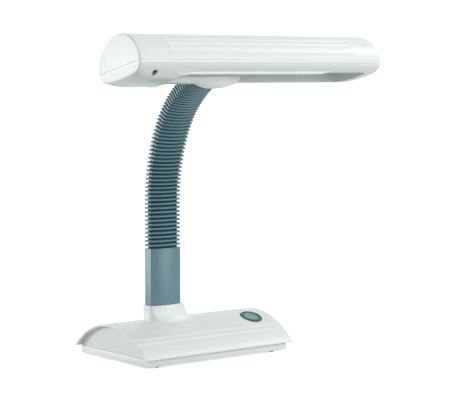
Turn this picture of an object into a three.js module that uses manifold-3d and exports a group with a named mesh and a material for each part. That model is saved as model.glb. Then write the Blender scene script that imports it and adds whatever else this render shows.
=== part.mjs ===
// Desk lamp: a long fluted fluorescent head on a flat ribbed gooseneck that rises from a weighted base.
// Millimetres, +Z up, +X along the base and the head, -Y towards the user.

import * as THREE from "three";
import { mergeVertices } from "three/addons/utils/BufferGeometryUtils.js";
import Module from "manifold-3d";

const wasm = await Module();
wasm.setup();

// Clearances and fasteners
const fit = 0.3;
const overrun = 1;
const mergeTolerance = 1e-4;
const screwShank = 1.45;
const screwHead = 2.9;
const screwHeadHeight = 1.1;
const roundSides = 20;
const screwSides = 12;

// Base tray and feet
const trayLength = 200;
const trayDepth = 132;
const trayHeight = 8.3;
const trayWall = 2.4;
const footProtrusion = 2;
const footRadius = 3.4;
const footPocket = 1;
const footInsetX = 17.8;
const footInsetY = 8;
const trayScrewInsetX = 12;
const trayScrewInsetY = 19;
const trayScrewLength = 12;

// Base shell
const shellWall = 2.6;
const shellOverhang = 6;
const shellRimOverhang = 5;
const shellLipHeight = 1.6;
const shellLipDraft = 0.7;
const shellRise = 31.7;
const stepInsets = [22.9, 16.4];
const stepHeight = 0.7;
const stepRun = 0.6;
const arcPoints = 9;
const flankPoints = 3;
const screwBossRadius = 4;

// Neck pedestal on the shell
const neckShare = -0.155;
const neckY = 0.5;
const neckWidth = 41.8;
const neckDepth = 12.4;
const neckCorner = 0.6;
const frontBulge = 4.2;
const collarMargin = 2;
const collarHeight = 17.3;
const collarSkirt = 4.5;

// Gooseneck
const sleeveWall = 1.2;
const sleeveAboveCollar = 64.7;
const ribPitch = 4.8;
const ribsPerSection = 6;
const sectionCount = 8;
const grooveDepth = 2.1;
const sectionGap = 1.2;
const bendStart = 55;
const bendRadius = 188;
const tightStart = 145;
const tightRadius = 122;
const coreWidth = 30;
const coreThickness = 3.7;
const coreTongue = 10;
const coreSteps = 4;

// Head shells
const headLeft = -144;
const headRight = 200.5;
const headBack = 4.35;
const headRise = 9.13;
const headTiltDegrees = 12.15;
const headHalfWidth = 40;
const headTopHeight = 36.1;
const headBottomDepth = 13.6;
const headWall = 2.2;
const endBevel = 1.2;
const endLean = 0.05;
const bandHeight = 2.9;
const bandProud = 0.4;
const reedRadius = 2.2;
const reedHeight = 0.9;
const reedLeft = -104.7;
const reedRight = 161;
const reedFirstDegrees = 46;
const reedStepDegrees = 10.5;
const reedCount = 4;

// Light window and its frame
const windowLeft = -88;
const windowRight = 182;
const windowHalfWidth = 27.5;
const windowCorner = 6;
const frameWall = 3.5;
const frameDepth = 11.2;
const frameTop = 8;
const visorDepth = 13.9;
const visorFade = [
  [110, 1],
  [116, 0.88],
  [122, 0.45],
  [128, 0.08],
];

// Lamp chamber under the left end, as levels of depth with the reach of each
const chamberDepths = [16.6, 12.7, 8];
const chamberLefts = [-127, -138, -141];
const chamberHalfWidths = [24.5, 31, 36.3];
const chamberFlatRight = -79;
const chamberRampRight = -62;
const bridgeRight = 12;
const bridgeFront = 6;
const bridgeDepth = 11.7;
const bridgeTop = 9.5;

// Boss that takes the neck
const bossX = -9.3;
const bossHalfLength = 25.6;
const bossHalfWidth = 20;
const bossDrop = 7.5;
const bossBack = 8;
const bossLevel = 12;
const clampHalfLength = 24;
const clampBack = 20;
const clampFront = 14;
const clampTop = 1.6;
const clampScrewSpread = 9;

// Lamp, holder and reflector
const tubeRadius = 6.2;
const tubeSpacing = 14.6;
const tubeLevel = 8;
const tubeRight = 126;
const tubeSides = 16;
const capLength = 17.7;
const capHalfWidth = 16;
const capHalfHeight = 7;
const plugLength = 16;
const plugHalfWidth = 8;
const plugHalfHeight = 4;
const pinRadius = 1.2;
const pinLength = 6;
const pinSpacing = 23;
const holderLeft = -124;
const holderHalfWidth = 16.5;
const holderTop = 17;
const socketScrewX = -120.6;
const socketScrewLevel = -11.35;
const socketScrewBite = 6;
const socketLugFront = 29;
const socketRecessEnd = 27.5;
const reflectorWall = 0.8;
const reflectorBottom = 9.2;
const flangeReach = 2;
const reflectorShoulder = 4;
const reflectorTop = 25;
const reflectorSteps = 10;
const clipX = 104;
const clipLength = 8;
const clipWall = 1.6;
const clipStem = 4;

// Switch
const buttonAcrossShare = 0.386;
const buttonBackShare = -0.212;
const buttonRadius = 9.2;
const buttonHeight = 6.6;
const buttonDish = 1;
const buttonTravel = 3;
const bezelRadius = 13.1;
const bezelSleeveRadius = 11.6;
const bezelHeight = 1;
const bezelSeat = 1.2;
const switchBodySize = 24;
const switchBodyHeight = 14;

// Parts inside the base
const chokeShare = 0.15;
const chokeWidth = 34;
const chokeHeight = 24;
const chokeLegWidth = 9.4;
const chokeWindowWidth = 6.6;
const chokeWindowHeight = 10.6;
const coilEndTurn = 6;
const weightLeftHeight = 17.3;
const weightRightHeight = 13.3;
const weightRightBack = 4;
const weightRightInset = 18;
const contentsGap = 3.2;
const contentsRoom = 5;
const cordRoom = 17;
const terminalSize = [30, 14, 12.3];
const terminalOffset = 14;
const bushWidth = 13.4;
const bushHeight = 12;
const bushInnerY = 52;
const bushBore = 3.2;
const bracketHalfLength = 32;
const bracketHalfDepth = 20;
const bracketPlate = 3;
const pedestalMargin = 1.3;
const spigotHeight = 24;
const bracketScrewSpread = 26;
const guideHeight = 12;

// Levels that follow from the sizes above
const trayBottom = footProtrusion;
const trayTop = trayBottom + trayHeight;
const floorTop = trayBottom + trayWall;
const seatLevel = floorTop + fit;
const shellBottom = trayTop + fit;
const shellHalfDepth = trayDepth / 2 + shellRimOverhang;
const shellHalfLength = trayLength / 2 + shellOverhang;
const lipTop = shellBottom + shellLipHeight;
const lipHalfDepth = shellHalfDepth - shellLipDraft;
const stepLines = stepInsets.map((inset) => lipHalfDepth - inset);
const arcRadius = (lipHalfDepth ** 2 + shellRise ** 2) / (2 * shellRise);
const crest = lipTop - stepLines.length * stepHeight + shellRise;
const arcCentreZ = crest - arcRadius;
const collarTop = crest + collarHeight;
const sleeveBottom = crest - shellWall - collarSkirt;
const flexStart = collarTop + sleeveAboveCollar;
const sectionLength = ribPitch * ribsPerSection;
const neckLength = sectionLength * sectionCount;
const headTilt = THREE.MathUtils.degToRad(headTiltDegrees);
const neckX = neckShare * trayLength;
const buttonX = buttonAcrossShare * trayLength;
const buttonY = buttonBackShare * trayDepth;
const bracketLeft = neckX - bracketHalfLength;
const bracketRight = neckX + bracketHalfLength;

// Materials
function finish(colour, roughness, metalness) {
  return new THREE.MeshStandardMaterial({ color: colour, roughness, metalness });
}
const whitePlastic = finish(0xe3e8e6, 0.45, 0);
const bluePlastic = finish(0x5f7f8c, 0.5, 0);
const tealPlastic = finish(0x4f8583, 0.35, 0);
const blackPlastic = finish(0x23272a, 0.6, 0);
const rubber = finish(0x17191b, 0.85, 0);
const steel = finish(0x9a9d9f, 0.35, 1);
const darkSteel = finish(0x4b4e50, 0.55, 0.8);
const copper = finish(0x9c5a34, 0.4, 0.8);
const lampGlass = finish(0xf4f4ee, 0.25, 0);

// Turn a closed three.js geometry into a solid, with its shared vertices merged
function solidOf(geometry) {
  const plain = geometry.clone();
  plain.deleteAttribute("normal");
  plain.deleteAttribute("uv");
  const merged = mergeVertices(plain, mergeTolerance);
  const corners = [];
  for (let i = 0; i < merged.index.count; i += 3) {
    const [a, b, c] = [0, 1, 2].map((k) => merged.index.getX(i + k));
    if (a !== b && b !== c && c !== a) {
      corners.push(a, b, c);
    }
  }
  const mesh = new wasm.Mesh({
    numProp: 3,
    vertProperties: new Float32Array(merged.attributes.position.array),
    triVerts: new Uint32Array(corners),
  });
  return new wasm.Manifold(mesh);
}

// Turn a solid back into a named mesh
function meshOf(name, solid, material) {
  const { vertProperties, triVerts, numProp } = solid.getMesh();
  const geometry = new THREE.BufferGeometry();
  const positions = new Float32Array((vertProperties.length / numProp) * 3);
  for (let i = 0; i < positions.length / 3; i += 1) {
    positions.set(vertProperties.subarray(i * numProp, i * numProp + 3), i * 3);
  }
  geometry.setAttribute("position", new THREE.BufferAttribute(positions, 3));
  geometry.setIndex(new THREE.BufferAttribute(new Uint32Array(triVerts), 1));
  geometry.computeVertexNormals();
  const mesh = new THREE.Mesh(geometry, material);
  mesh.name = name;
  return mesh;
}

// Box between two opposite corners
function block(x0, x1, y0, y1, z0, z1) {
  const geometry = new THREE.BoxGeometry(x1 - x0, y1 - y0, z1 - z0);
  geometry.translate((x0 + x1) / 2, (y0 + y1) / 2, (z0 + z1) / 2);
  return solidOf(geometry);
}

// Box of a given size that stands on a level
function standingBlock([length, depth, height], x, y, z) {
  return block(x - length / 2, x + length / 2, y - depth / 2, y + depth / 2, z, z + height);
}

// Upright cylinder between two levels
function post(radius, x, y, z0, z1, sides = roundSides) {
  const geometry = new THREE.CylinderGeometry(radius, radius, z1 - z0, sides);
  geometry.rotateX(Math.PI / 2);
  geometry.translate(x, y, (z0 + z1) / 2);
  return solidOf(geometry);
}

// Cylinder that lies along Y between two places
function rod(radius, x, z, y0, y1, sides = roundSides) {
  const geometry = new THREE.CylinderGeometry(radius, radius, y1 - y0, sides);
  geometry.translate(x, (y0 + y1) / 2, z);
  return solidOf(geometry);
}

// Outline in Y and Z, extruded along X, with an optional bevel at both ends
function prism(outline, x0, x1, bevel = 0) {
  const shape = new THREE.Shape(outline.map(([y, z]) => new THREE.Vector2(y, z)));
  const geometry = new THREE.ExtrudeGeometry(shape, {
    depth: x1 - x0 - 2 * bevel,
    bevelEnabled: bevel > 0,
    bevelThickness: bevel,
    bevelSize: bevel,
    bevelOffset: -bevel,
    bevelSegments: 2,
  });
  const alongX = new THREE.Matrix4().makeBasis(
    new THREE.Vector3(0, 1, 0),
    new THREE.Vector3(0, 0, 1),
    new THREE.Vector3(1, 0, 0),
  );
  geometry.applyMatrix4(alongX);
  geometry.translate(x0 + bevel, 0, 0);
  return geometry;
}

// Closed skin over a row of rings that all have the same number of points
function loft(rings) {
  const count = rings[0].length;
  const positions = rings.flat().flatMap((point) => [point.x, point.y, point.z]);
  const index = [];
  for (let r = 0; r + 1 < rings.length; r += 1) {
    for (let i = 0; i < count; i += 1) {
      const next = (i + 1) % count;
      const a = r * count + i;
      const b = r * count + next;
      index.push(a, b, b + count, a, b + count, a + count);
    }
  }
  const last = (rings.length - 1) * count;
  for (let i = 1; i + 1 < count; i += 1) {
    index.push(0, i + 1, i);
    index.push(last, last + i, last + i + 1);
  }
  const geometry = new THREE.BufferGeometry();
  geometry.setAttribute("position", new THREE.Float32BufferAttribute(positions, 3));
  geometry.setIndex(index);
  return solidOf(geometry);
}

// Eight corner points of a rectangle with cut corners, counterclockwise from the lower right
function cutRectangle(halfWidth, halfDepth, corner) {
  const w = halfWidth;
  const d = halfDepth;
  return [
    [w - corner, -d],
    [w, -d + corner],
    [w, d - corner],
    [w - corner, d],
    [-w + corner, d],
    [-w, d - corner],
    [-w, -d + corner],
    [-w + corner, -d],
  ];
}

// The same outline with a front face that bulges forward
function neckOutline(halfWidth, halfDepth, corner) {
  const crown = [
    [-halfWidth / 2, -halfDepth - (3 * frontBulge) / 4],
    [0, -halfDepth - frontBulge],
    [halfWidth / 2, -halfDepth - (3 * frontBulge) / 4],
  ];
  return [...cutRectangle(halfWidth, halfDepth, corner), ...crown];
}

// Level ring of a cut rectangle around a point
function levelRing(halfWidth, halfDepth, corner, x, y, z) {
  return cutRectangle(halfWidth, halfDepth, corner).map(([dx, dy]) => new THREE.Vector3(x + dx, y + dy, z));
}

// Level ring of the neck's outline around its foot, with its middle shifted along X
function neckLevel(halfWidth, halfDepth, corner, z, shift = 0) {
  const outline = neckOutline(halfWidth, halfDepth, corner);
  return outline.map(([dx, dy]) => new THREE.Vector3(neckX + shift + dx, neckY + dy, z));
}

// Solid of revolution about Z from an open or closed profile of radius and height
function turned(profile) {
  const points = profile.map(([radius, height]) => new THREE.Vector2(radius, height));
  const geometry = new THREE.LatheGeometry(points, roundSides);
  geometry.rotateX(Math.PI / 2);
  return solidOf(geometry);
}

// Centreline of the neck: straight up from the sleeve, then a bend towards the user that tightens
function neckPlace(s) {
  const first = THREE.MathUtils.clamp(s - bendStart, 0, tightStart - bendStart) / bendRadius;
  const angle = first + Math.max(0, s - tightStart) / tightRadius;
  const forward = bendRadius * (1 - Math.cos(first)) + tightRadius * (Math.cos(first) - Math.cos(angle));
  const rise = bendRadius * Math.sin(first) + tightRadius * (Math.sin(angle) - Math.sin(first));
  return { y: neckY - forward, z: flexStart + Math.min(s, bendStart) + rise, angle };
}

// Ring square to the neck's centreline
function neckRing(s, outline) {
  const { y, z, angle } = neckPlace(s);
  return outline.map(
    ([dx, depth]) =>
      new THREE.Vector3(neckX + dx, y + depth * Math.cos(angle), z + depth * Math.sin(angle)),
  );
}

// Height of the base shell's outer surface, with the two proud steps towards each long edge
function shellHeight(y) {
  const arc = arcCentreZ + Math.sqrt(arcRadius ** 2 - y ** 2);
  const steps = stepLines.filter((line) => Math.abs(y) > line).length;
  return arc + steps * stepHeight;
}

// Outer outline of the base shell, from the back rim over the crest to the front rim
function shellOutline(bottom) {
  const [innerLine, outerLine] = stepLines;
  const flanks = [];
  for (let i = 1; i <= flankPoints; i += 1) {
    flanks.push(outerLine + ((lipHalfDepth - outerLine) * i) / flankPoints);
  }
  const side = [innerLine - stepRun, innerLine + stepRun, outerLine - stepRun, outerLine + stepRun, ...flanks];
  const places = [...side].reverse();
  for (let i = 1; i < arcPoints; i += 1) {
    places.push((innerLine * (arcPoints - 2 * i)) / arcPoints);
  }
  places.push(...side.map((y) => -y));
  return [
    [shellHalfDepth, bottom],
    ...places.map((y) => [y, shellHeight(y)]),
    [-shellHalfDepth, bottom],
  ];
}

// Inner outline of the base shell, with upright sides below the place where its arc meets the rim
function shellInnerOutline(bottom) {
  const radius = arcRadius - shellWall;
  const half = Math.sqrt(radius ** 2 - (shellBottom - arcCentreZ) ** 2);
  const outline = [[-half, bottom]];
  for (let i = 0; i <= arcPoints; i += 1) {
    const y = (half * (2 * i - arcPoints)) / arcPoints;
    outline.push([y, arcCentreZ + Math.sqrt(radius ** 2 - y ** 2)]);
  }
  outline.push([half, bottom]);
  return outline.reverse();
}

// Places of the four corners, as signs along X and Y
const corners = [
  [-1, -1],
  [1, -1],
  [1, 1],
  [-1, 1],
];
const footPlaces = corners.map(([sx, sy]) => [
  sx * (trayLength / 2 - footInsetX),
  sy * (trayDepth / 2 - footInsetY),
]);
const trayScrewPlaces = corners.map(([sx, sy]) => [
  sx * (trayLength / 2 - trayScrewInsetX),
  sy * (trayDepth / 2 - trayScrewInsetY),
]);
const bracketScrewPlaces = [-1, 1].map((side) => [neckX + side * bracketScrewSpread, neckY]);
const trayPocket = screwHeadHeight + fit;

function makeTray() {
  const halfLength = trayLength / 2;
  const halfDepth = trayDepth / 2;
  let tray = block(-halfLength, halfLength, -halfDepth, halfDepth, trayBottom, trayTop);
  const inner = block(
    trayWall - halfLength,
    halfLength - trayWall,
    trayWall - halfDepth,
    halfDepth - trayWall,
    floorTop,
    trayTop + overrun,
  );
  tray = tray.subtract(inner);
  for (const [x, y] of footPlaces) {
    tray = tray.subtract(post(footRadius + fit, x, y, trayBottom - overrun, trayBottom + footPocket));
  }
  for (const [x, y] of trayScrewPlaces) {
    const pocket = post(screwHead + fit, x, y, trayBottom - overrun, trayBottom + trayPocket);
    const hole = post(screwShank + fit, x, y, trayBottom - overrun, floorTop + overrun, screwSides);
    tray = tray.subtract(pocket).subtract(hole);
  }
  for (const [x, y] of bracketScrewPlaces) {
    tray = tray.subtract(post(screwShank + fit, x, y, trayBottom - overrun, floorTop + overrun, screwSides));
  }
  return meshOf("base_tray", tray, whitePlastic);
}

// Flared pedestal around the neck, fuller on its right side
function collarSolid() {
  const half = neckDepth / 2 + collarMargin;
  const levelShares = [1, 0.63, 0.42, 0.25, 0.03, -0.26];
  const leftShares = [0, 0.01, 0.02, 0.04, 0.06, 0.08];
  const rightShares = [0.06, 0.3, 0.42, 0.55, 0.75, 0.95];
  const depthShares = [0, 0.06, 0.12, 0.2, 0.35, 0.5];
  const rings = levelShares.map((share, i) => {
    const grownLeft = collarMargin + collarHeight * leftShares[i];
    const grownRight = collarMargin + collarHeight * rightShares[i];
    const halfWidth = (neckWidth + grownLeft + grownRight) / 2;
    const grownDepth = collarHeight * depthShares[i];
    const corner = neckCorner + collarMargin + grownDepth;
    const shift = (grownRight - grownLeft) / 2;
    return neckLevel(halfWidth, half + grownDepth, corner, crest + collarHeight * share, shift);
  });
  return loft(rings.reverse());
}

// Upright piece of the neck's outline between two levels, grown by a margin
function neckPrism(margin, z0, z1) {
  const ring = (z) => neckLevel(neckWidth / 2 + margin, neckDepth / 2 + margin, neckCorner, z);
  return loft([ring(z0), ring(z1)]);
}

// Frame that is square to the shell at the button, with its origin on the outer surface
const buttonTilt = Math.asin(-buttonY / arcRadius);
const buttonZ = arcCentreZ + arcRadius * Math.cos(buttonTilt);
const buttonFrame = new THREE.Matrix4()
  .makeTranslation(buttonX, buttonY, buttonZ)
  .multiply(new THREE.Matrix4().makeRotationX(buttonTilt));

function inButtonFrame(radius, z0, z1) {
  const geometry = new THREE.CylinderGeometry(radius, radius, z1 - z0, roundSides);
  geometry.rotateX(Math.PI / 2);
  geometry.translate(0, 0, (z0 + z1) / 2);
  geometry.applyMatrix4(buttonFrame);
  return solidOf(geometry);
}

function bushBlock(clearance) {
  const half = bushWidth / 2 + clearance;
  return block(
    -half,
    half,
    bushInnerY - clearance,
    shellHalfDepth + overrun,
    shellBottom - overrun,
    shellBottom + bushHeight + clearance,
  );
}

function makeShell() {
  const half = shellHalfLength;
  const panel = trayLength / 2;
  const outer = solidOf(prism(shellOutline(shellBottom), -half, half));
  const inner = (x0, x1) => solidOf(prism(shellInnerOutline(shellBottom - overrun), x0, x1));
  let shell = outer.add(collarSolid());
  shell = shell.subtract(inner(shellWall - panel, panel - shellWall));
  shell = shell.subtract(inner(panel, half + overrun));
  shell = shell.subtract(inner(-half - overrun, -panel));
  const tall = solidOf(prism(shellOutline(trayBottom), -half, half));
  for (const [x, y] of trayScrewPlaces) {
    const boss = post(screwBossRadius, x, y, seatLevel, shellHeight(y)).intersect(tall);
    const hole = post(screwShank + fit, x, y, trayBottom, seatLevel + trayScrewLength, screwSides);
    shell = shell.add(boss).subtract(hole);
  }
  shell = shell.subtract(neckPrism(fit, sleeveBottom - overrun, collarTop + overrun));
  shell = shell.subtract(inButtonFrame(bezelSleeveRadius + fit, -2 * shellWall, overrun));
  shell = shell.subtract(inButtonFrame(bezelRadius + fit, -bezelSeat, 2 * overrun));
  shell = shell.subtract(bushBlock(fit));
  return meshOf("base_shell", shell, whitePlastic);
}

function makeBush() {
  const profile = solidOf(prism(shellOutline(shellBottom), -bushWidth, bushWidth));
  const boreZ = shellBottom + bushHeight / 2;
  const bore = rod(bushBore, 0, boreZ, bushInnerY - overrun, shellHalfDepth + overrun, screwSides);
  const body = bushBlock(0).intersect(profile).subtract(bore);
  return meshOf("cord_inlet_bush", body, blackPlastic);
}

function makeFeetAndScrews() {
  const group = new THREE.Group();
  footPlaces.forEach(([x, y], i) => {
    const foot = post(footRadius, x, y, 0, trayBottom + footPocket - fit);
    group.add(meshOf(`foot_${i + 1}`, foot, rubber));
  });
  trayScrewPlaces.forEach(([x, y], i) => {
    const top = trayBottom + screwHeadHeight;
    const head = post(screwHead, x, y, trayBottom, top, screwSides);
    const shank = post(screwShank, x, y, trayBottom, trayBottom + trayScrewLength, screwSides);
    group.add(meshOf(`tray_screw_${i + 1}`, head.add(shank), darkSteel));
  });
  return group;
}

function makeSwitch() {
  const group = new THREE.Group();
  group.applyMatrix4(buttonFrame);
  const opening = buttonRadius + fit;
  const sleeveEnd = -(buttonHeight - bezelHeight / 2 + buttonTravel) - fit;
  const lip = bezelHeight / 2;
  const bezel = turned([
    [opening, sleeveEnd],
    [bezelSleeveRadius, sleeveEnd],
    [bezelSleeveRadius, fit - bezelSeat],
    [bezelRadius, fit - bezelSeat],
    [bezelRadius, lip - fit],
    [bezelRadius - lip, bezelHeight],
    [opening + lip, bezelHeight],
    [opening, lip],
    [opening, sleeveEnd],
  ]);
  const buttonBottom = bezelHeight / 2 - buttonHeight;
  const button = turned([
    [0, buttonBottom],
    [buttonRadius, buttonBottom],
    [buttonRadius, lip],
    [buttonRadius - lip, bezelHeight],
    [buttonRadius / 2, bezelHeight - (3 * buttonDish) / 4],
    [0, bezelHeight - buttonDish],
  ]);
  const bodyTop = sleeveEnd - fit;
  const size = [switchBodySize, switchBodySize, switchBodyHeight];
  const body = standingBlock(size, 0, 0, bodyTop - switchBodyHeight);
  group.add(meshOf("switch_bezel", bezel, tealPlastic));
  group.add(meshOf("switch_button", button, tealPlastic));
  group.add(meshOf("switch_body", body, blackPlastic));
  return group;
}

function makeChoke() {
  const group = new THREE.Group();
  const left = bracketRight + contentsRoom + coilEndTurn;
  const right = trayLength / 2 - cordRoom - coilEndTurn;
  const chokeLength = right - left;
  const chokeX = (left + right) / 2;
  const chokeY = chokeShare * trayDepth;
  const top = seatLevel + chokeHeight;
  const middle = (seatLevel + top) / 2;
  const halfLength = chokeLength / 2;
  const leg = chokeLegWidth / 2;
  const windowEnd = leg + chokeWindowWidth;
  let core = standingBlock([chokeLength, chokeWidth, chokeHeight], chokeX, chokeY, seatLevel);
  for (const side of [-1, 1]) {
    const place = chokeY + (side * (leg + windowEnd)) / 2;
    core = core.subtract(
      block(
        chokeX - halfLength - overrun,
        chokeX + halfLength + overrun,
        place - chokeWindowWidth / 2,
        place + chokeWindowWidth / 2,
        middle - chokeWindowHeight / 2,
        middle + chokeWindowHeight / 2,
      ),
    );
  }
  const limbHeight = chokeWindowHeight / 2 - fit;
  const coilOuter = block(
    chokeX - halfLength - coilEndTurn,
    chokeX + halfLength + coilEndTurn,
    chokeY - windowEnd + fit,
    chokeY + windowEnd - fit,
    middle - limbHeight,
    middle + limbHeight,
  );
  const coilInner = block(
    chokeX - halfLength - fit,
    chokeX + halfLength + fit,
    chokeY - leg - fit,
    chokeY + leg + fit,
    seatLevel,
    top,
  );
  group.add(meshOf("choke_core", core, darkSteel));
  group.add(meshOf("choke_coil", coilOuter.subtract(coilInner), copper));
  return group;
}

function makeBaseContents() {
  const group = new THREE.Group();
  const halfDepth = trayDepth / 2;
  const leftHalf = halfDepth - trayScrewInsetY - screwBossRadius - contentsRoom;
  const left = block(
    trayWall + contentsGap - trayLength / 2,
    bracketLeft - contentsGap,
    -leftHalf,
    leftHalf,
    seatLevel,
    seatLevel + weightLeftHeight,
  );
  const right = block(
    bracketRight + contentsRoom,
    buttonX - switchBodySize / 2 - contentsGap,
    weightRightInset - halfDepth,
    -weightRightBack,
    seatLevel,
    seatLevel + weightRightHeight,
  );
  const terminalY = neckY + bracketHalfDepth + contentsRoom + terminalSize[1] / 2;
  const terminal = standingBlock(terminalSize, neckX - terminalOffset, terminalY, seatLevel);
  group.add(meshOf("ballast_weight_left", left, darkSteel));
  group.add(meshOf("ballast_weight_right", right, darkSteel));
  group.add(meshOf("terminal_block", terminal, whitePlastic));
  group.add(makeChoke());
  return group;
}

function makeNeckMount() {
  const group = new THREE.Group();
  const plateTop = seatLevel + bracketPlate;
  const shoulder = sleeveBottom - fit;
  const spigotWall = sleeveWall + fit;
  const level = (margin, z) =>
    levelRing(neckWidth / 2 + margin, neckDepth / 2 + margin, neckCorner, neckX, neckY, z);
  const slot = (z0, z1) =>
    block(
      neckX - coreWidth / 2 - fit,
      neckX + coreWidth / 2 + fit,
      neckY - coreThickness / 2 - fit,
      neckY + coreThickness / 2 + fit,
      z0,
      z1,
    );
  const plate = [2 * bracketHalfLength, 2 * bracketHalfDepth, bracketPlate];
  let bracket = standingBlock(plate, neckX, neckY, seatLevel);
  bracket = bracket.add(loft([level(pedestalMargin, seatLevel), level(pedestalMargin, shoulder)]));
  bracket = bracket.add(loft([level(-spigotWall, seatLevel), level(-spigotWall, shoulder + spigotHeight)]));
  bracket = bracket.subtract(slot(plateTop, shoulder + spigotHeight + overrun));
  bracketScrewPlaces.forEach(([x, y], i) => {
    bracket = bracket.subtract(post(screwShank + fit, x, y, trayBottom, plateTop + overrun, screwSides));
    const head = post(screwHead, x, y, plateTop + fit, plateTop + fit + screwHeadHeight, screwSides);
    const shank = post(screwShank, x, y, trayBottom, plateTop + fit + screwHeadHeight, screwSides);
    group.add(meshOf(`bracket_screw_${i + 1}`, head.add(shank), steel));
  });
  group.add(meshOf("neck_bracket", bracket, darkSteel));

  const bar = block(
    neckX - coreWidth / 2,
    neckX + coreWidth / 2,
    neckY - coreThickness / 2,
    neckY + coreThickness / 2,
    plateTop + fit,
    flexStart - fit,
  );
  group.add(meshOf("neck_post", bar, steel));

  const sleeveTop = flexStart - sectionGap / 2;
  const sleeveHollow = neckPrism(-sleeveWall, sleeveBottom - overrun, sleeveTop + overrun);
  const sleeve = neckPrism(0, sleeveBottom, sleeveTop).subtract(sleeveHollow);
  group.add(meshOf("neck_sleeve", sleeve, bluePlastic));

  const guideTop = sleeveTop - fit;
  const guide = loft([level(-spigotWall, guideTop - guideHeight), level(-spigotWall, guideTop)]).subtract(
    slot(guideTop - guideHeight - overrun, guideTop + overrun),
  );
  group.add(meshOf("sleeve_guide", guide, blackPlastic));
  return group;
}

// Ribbed hose and its flat core, in sections that meet at the bottom of a groove
const ribOutline = neckOutline(neckWidth / 2, neckDepth / 2, neckCorner);
const grooveOutline = neckOutline(neckWidth / 2 - grooveDepth, neckDepth / 2 - grooveDepth, neckCorner / 2);
const coreOutline = cutRectangle(coreWidth / 2, coreThickness / 2, neckCorner / 2);
const boreOutline = cutRectangle(coreWidth / 2 + fit, coreThickness / 2 + fit, neckCorner / 2);

// Skin along the neck's centreline, over rings at even distances
function alongNeck(from, to, steps, outline) {
  const rings = [];
  for (let i = 0; i <= steps; i += 1) {
    rings.push(neckRing(from + ((to - from) * i) / steps, outline));
  }
  return loft(rings);
}

function ribbedSection(k) {
  const start = k * sectionLength;
  const end = start + sectionLength;
  const rings = [neckRing(start + sectionGap / 2, grooveOutline)];
  for (let rib = 1; rib <= ribsPerSection; rib += 1) {
    const isLast = rib === ribsPerSection;
    rings.push(neckRing(start + (rib - 1 / 2) * ribPitch, ribOutline));
    rings.push(neckRing(isLast ? end - sectionGap / 2 : start + rib * ribPitch, grooveOutline));
  }
  return loft(rings).subtract(alongNeck(start, end, coreSteps, boreOutline));
}

function coreSection(k) {
  const start = k * sectionLength + fit;
  const isLast = k === sectionCount - 1;
  const end = (k + 1) * sectionLength + (isLast ? coreTongue : -fit);
  return alongNeck(start, end, coreSteps, coreOutline);
}

function makeNeck() {
  const group = new THREE.Group();
  for (let k = 0; k < sectionCount; k += 1) {
    let core = coreSection(k);
    if (k === sectionCount - 1) {
      for (const [x, y] of clampScrewPlaces) {
        core = core.subtract(inRoom(post(screwShank + fit, x, y, clampFloor, 0, screwSides)));
      }
    }
    group.add(meshOf(`neck_section_${k + 1}`, ribbedSection(k), bluePlastic));
    group.add(meshOf(`gooseneck_core_${k + 1}`, core, steel));
  }
  return group;
}

// Frame of the head: origin on its parting plane, X along it, -Y forward and +Z out of its top
const neckEnd = neckPlace(neckLength);
const headFrame = new THREE.Matrix4()
  .makeTranslation(0, neckEnd.y + headBack, neckEnd.z + headRise)
  .multiply(new THREE.Matrix4().makeRotationX(-headTilt));
const intoHead = headFrame.clone().invert();

// Solid built in the head's frame, moved to the room's
function inRoom(solid) {
  return solid.transform(headFrame.elements);
}

// Solid along the neck's centreline, in the head's frame
function neckSpace(from, to, outline) {
  const steps = 6;
  const rings = [];
  for (let i = 0; i <= steps; i += 1) {
    const ring = neckRing(from + ((to - from) * i) / steps, outline);
    rings.push(ring.map((point) => point.applyMatrix4(intoHead)));
  }
  return loft(rings);
}

// Full outline of the head, inset by a wall: a high elliptical top over a shallow, flatter bottom
function headOutline(inset) {
  const half = headHalfWidth - inset;
  const top = headTopHeight - inset;
  const depth = headBottomDepth - inset;
  const steps = 20;
  const outline = [];
  for (let i = 0; i <= steps; i += 1) {
    const angle = (Math.PI * i) / steps;
    outline.push([half * Math.cos(angle), top * Math.sin(angle)]);
  }
  const bottomShares = [
    [0.99, 0.22],
    [0.955, 0.44],
    [0.888, 0.64],
    [0.775, 0.82],
    [0.38, 0.96],
    [0, 1],
    [-0.38, 0.96],
    [-0.775, 0.82],
    [-0.888, 0.64],
    [-0.955, 0.44],
    [-0.99, 0.22],
  ];
  return [...outline, ...bottomShares.map(([across, down]) => [-half * across, -depth * down])];
}

// Narrow the ends towards the top
function leanEnds(geometry) {
  const position = geometry.attributes.position;
  const middle = (headLeft + headRight) / 2;
  const half = (headRight - headLeft) / 2;
  for (let i = 0; i < position.count; i += 1) {
    const along = (position.getX(i) - middle) / half;
    position.setX(i, position.getX(i) - along * endLean * Math.max(0, position.getZ(i)));
  }
  return geometry;
}

function headBody(inset) {
  const body = prism(headOutline(inset), headLeft + inset, headRight - inset, endBevel);
  return solidOf(leanEnds(body));
}

// Slab across the whole head between two levels
function headSlab(z0, z1) {
  const reach = 2 * headHalfWidth;
  return block(headLeft - overrun, headRight + overrun, -reach, reach, z0, z1);
}

const headScrewX = (windowRight + headRight) / 2;
const headScrewTop = bandHeight;
const headFloor = -headBottomDepth + headWall;
const clampFloor = -bossLevel - bossDrop / 2;
const tongue = neckPlace(neckLength + coreTongue / 2);
const tongueY = new THREE.Vector3(0, tongue.y, tongue.z).applyMatrix4(intoHead).y;
const clampScrewPlaces = [-1, 1].map((side) => [neckX + side * clampScrewSpread, tongueY]);
const clampHeadSeat = -clampTop - screwHeadHeight;

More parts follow.
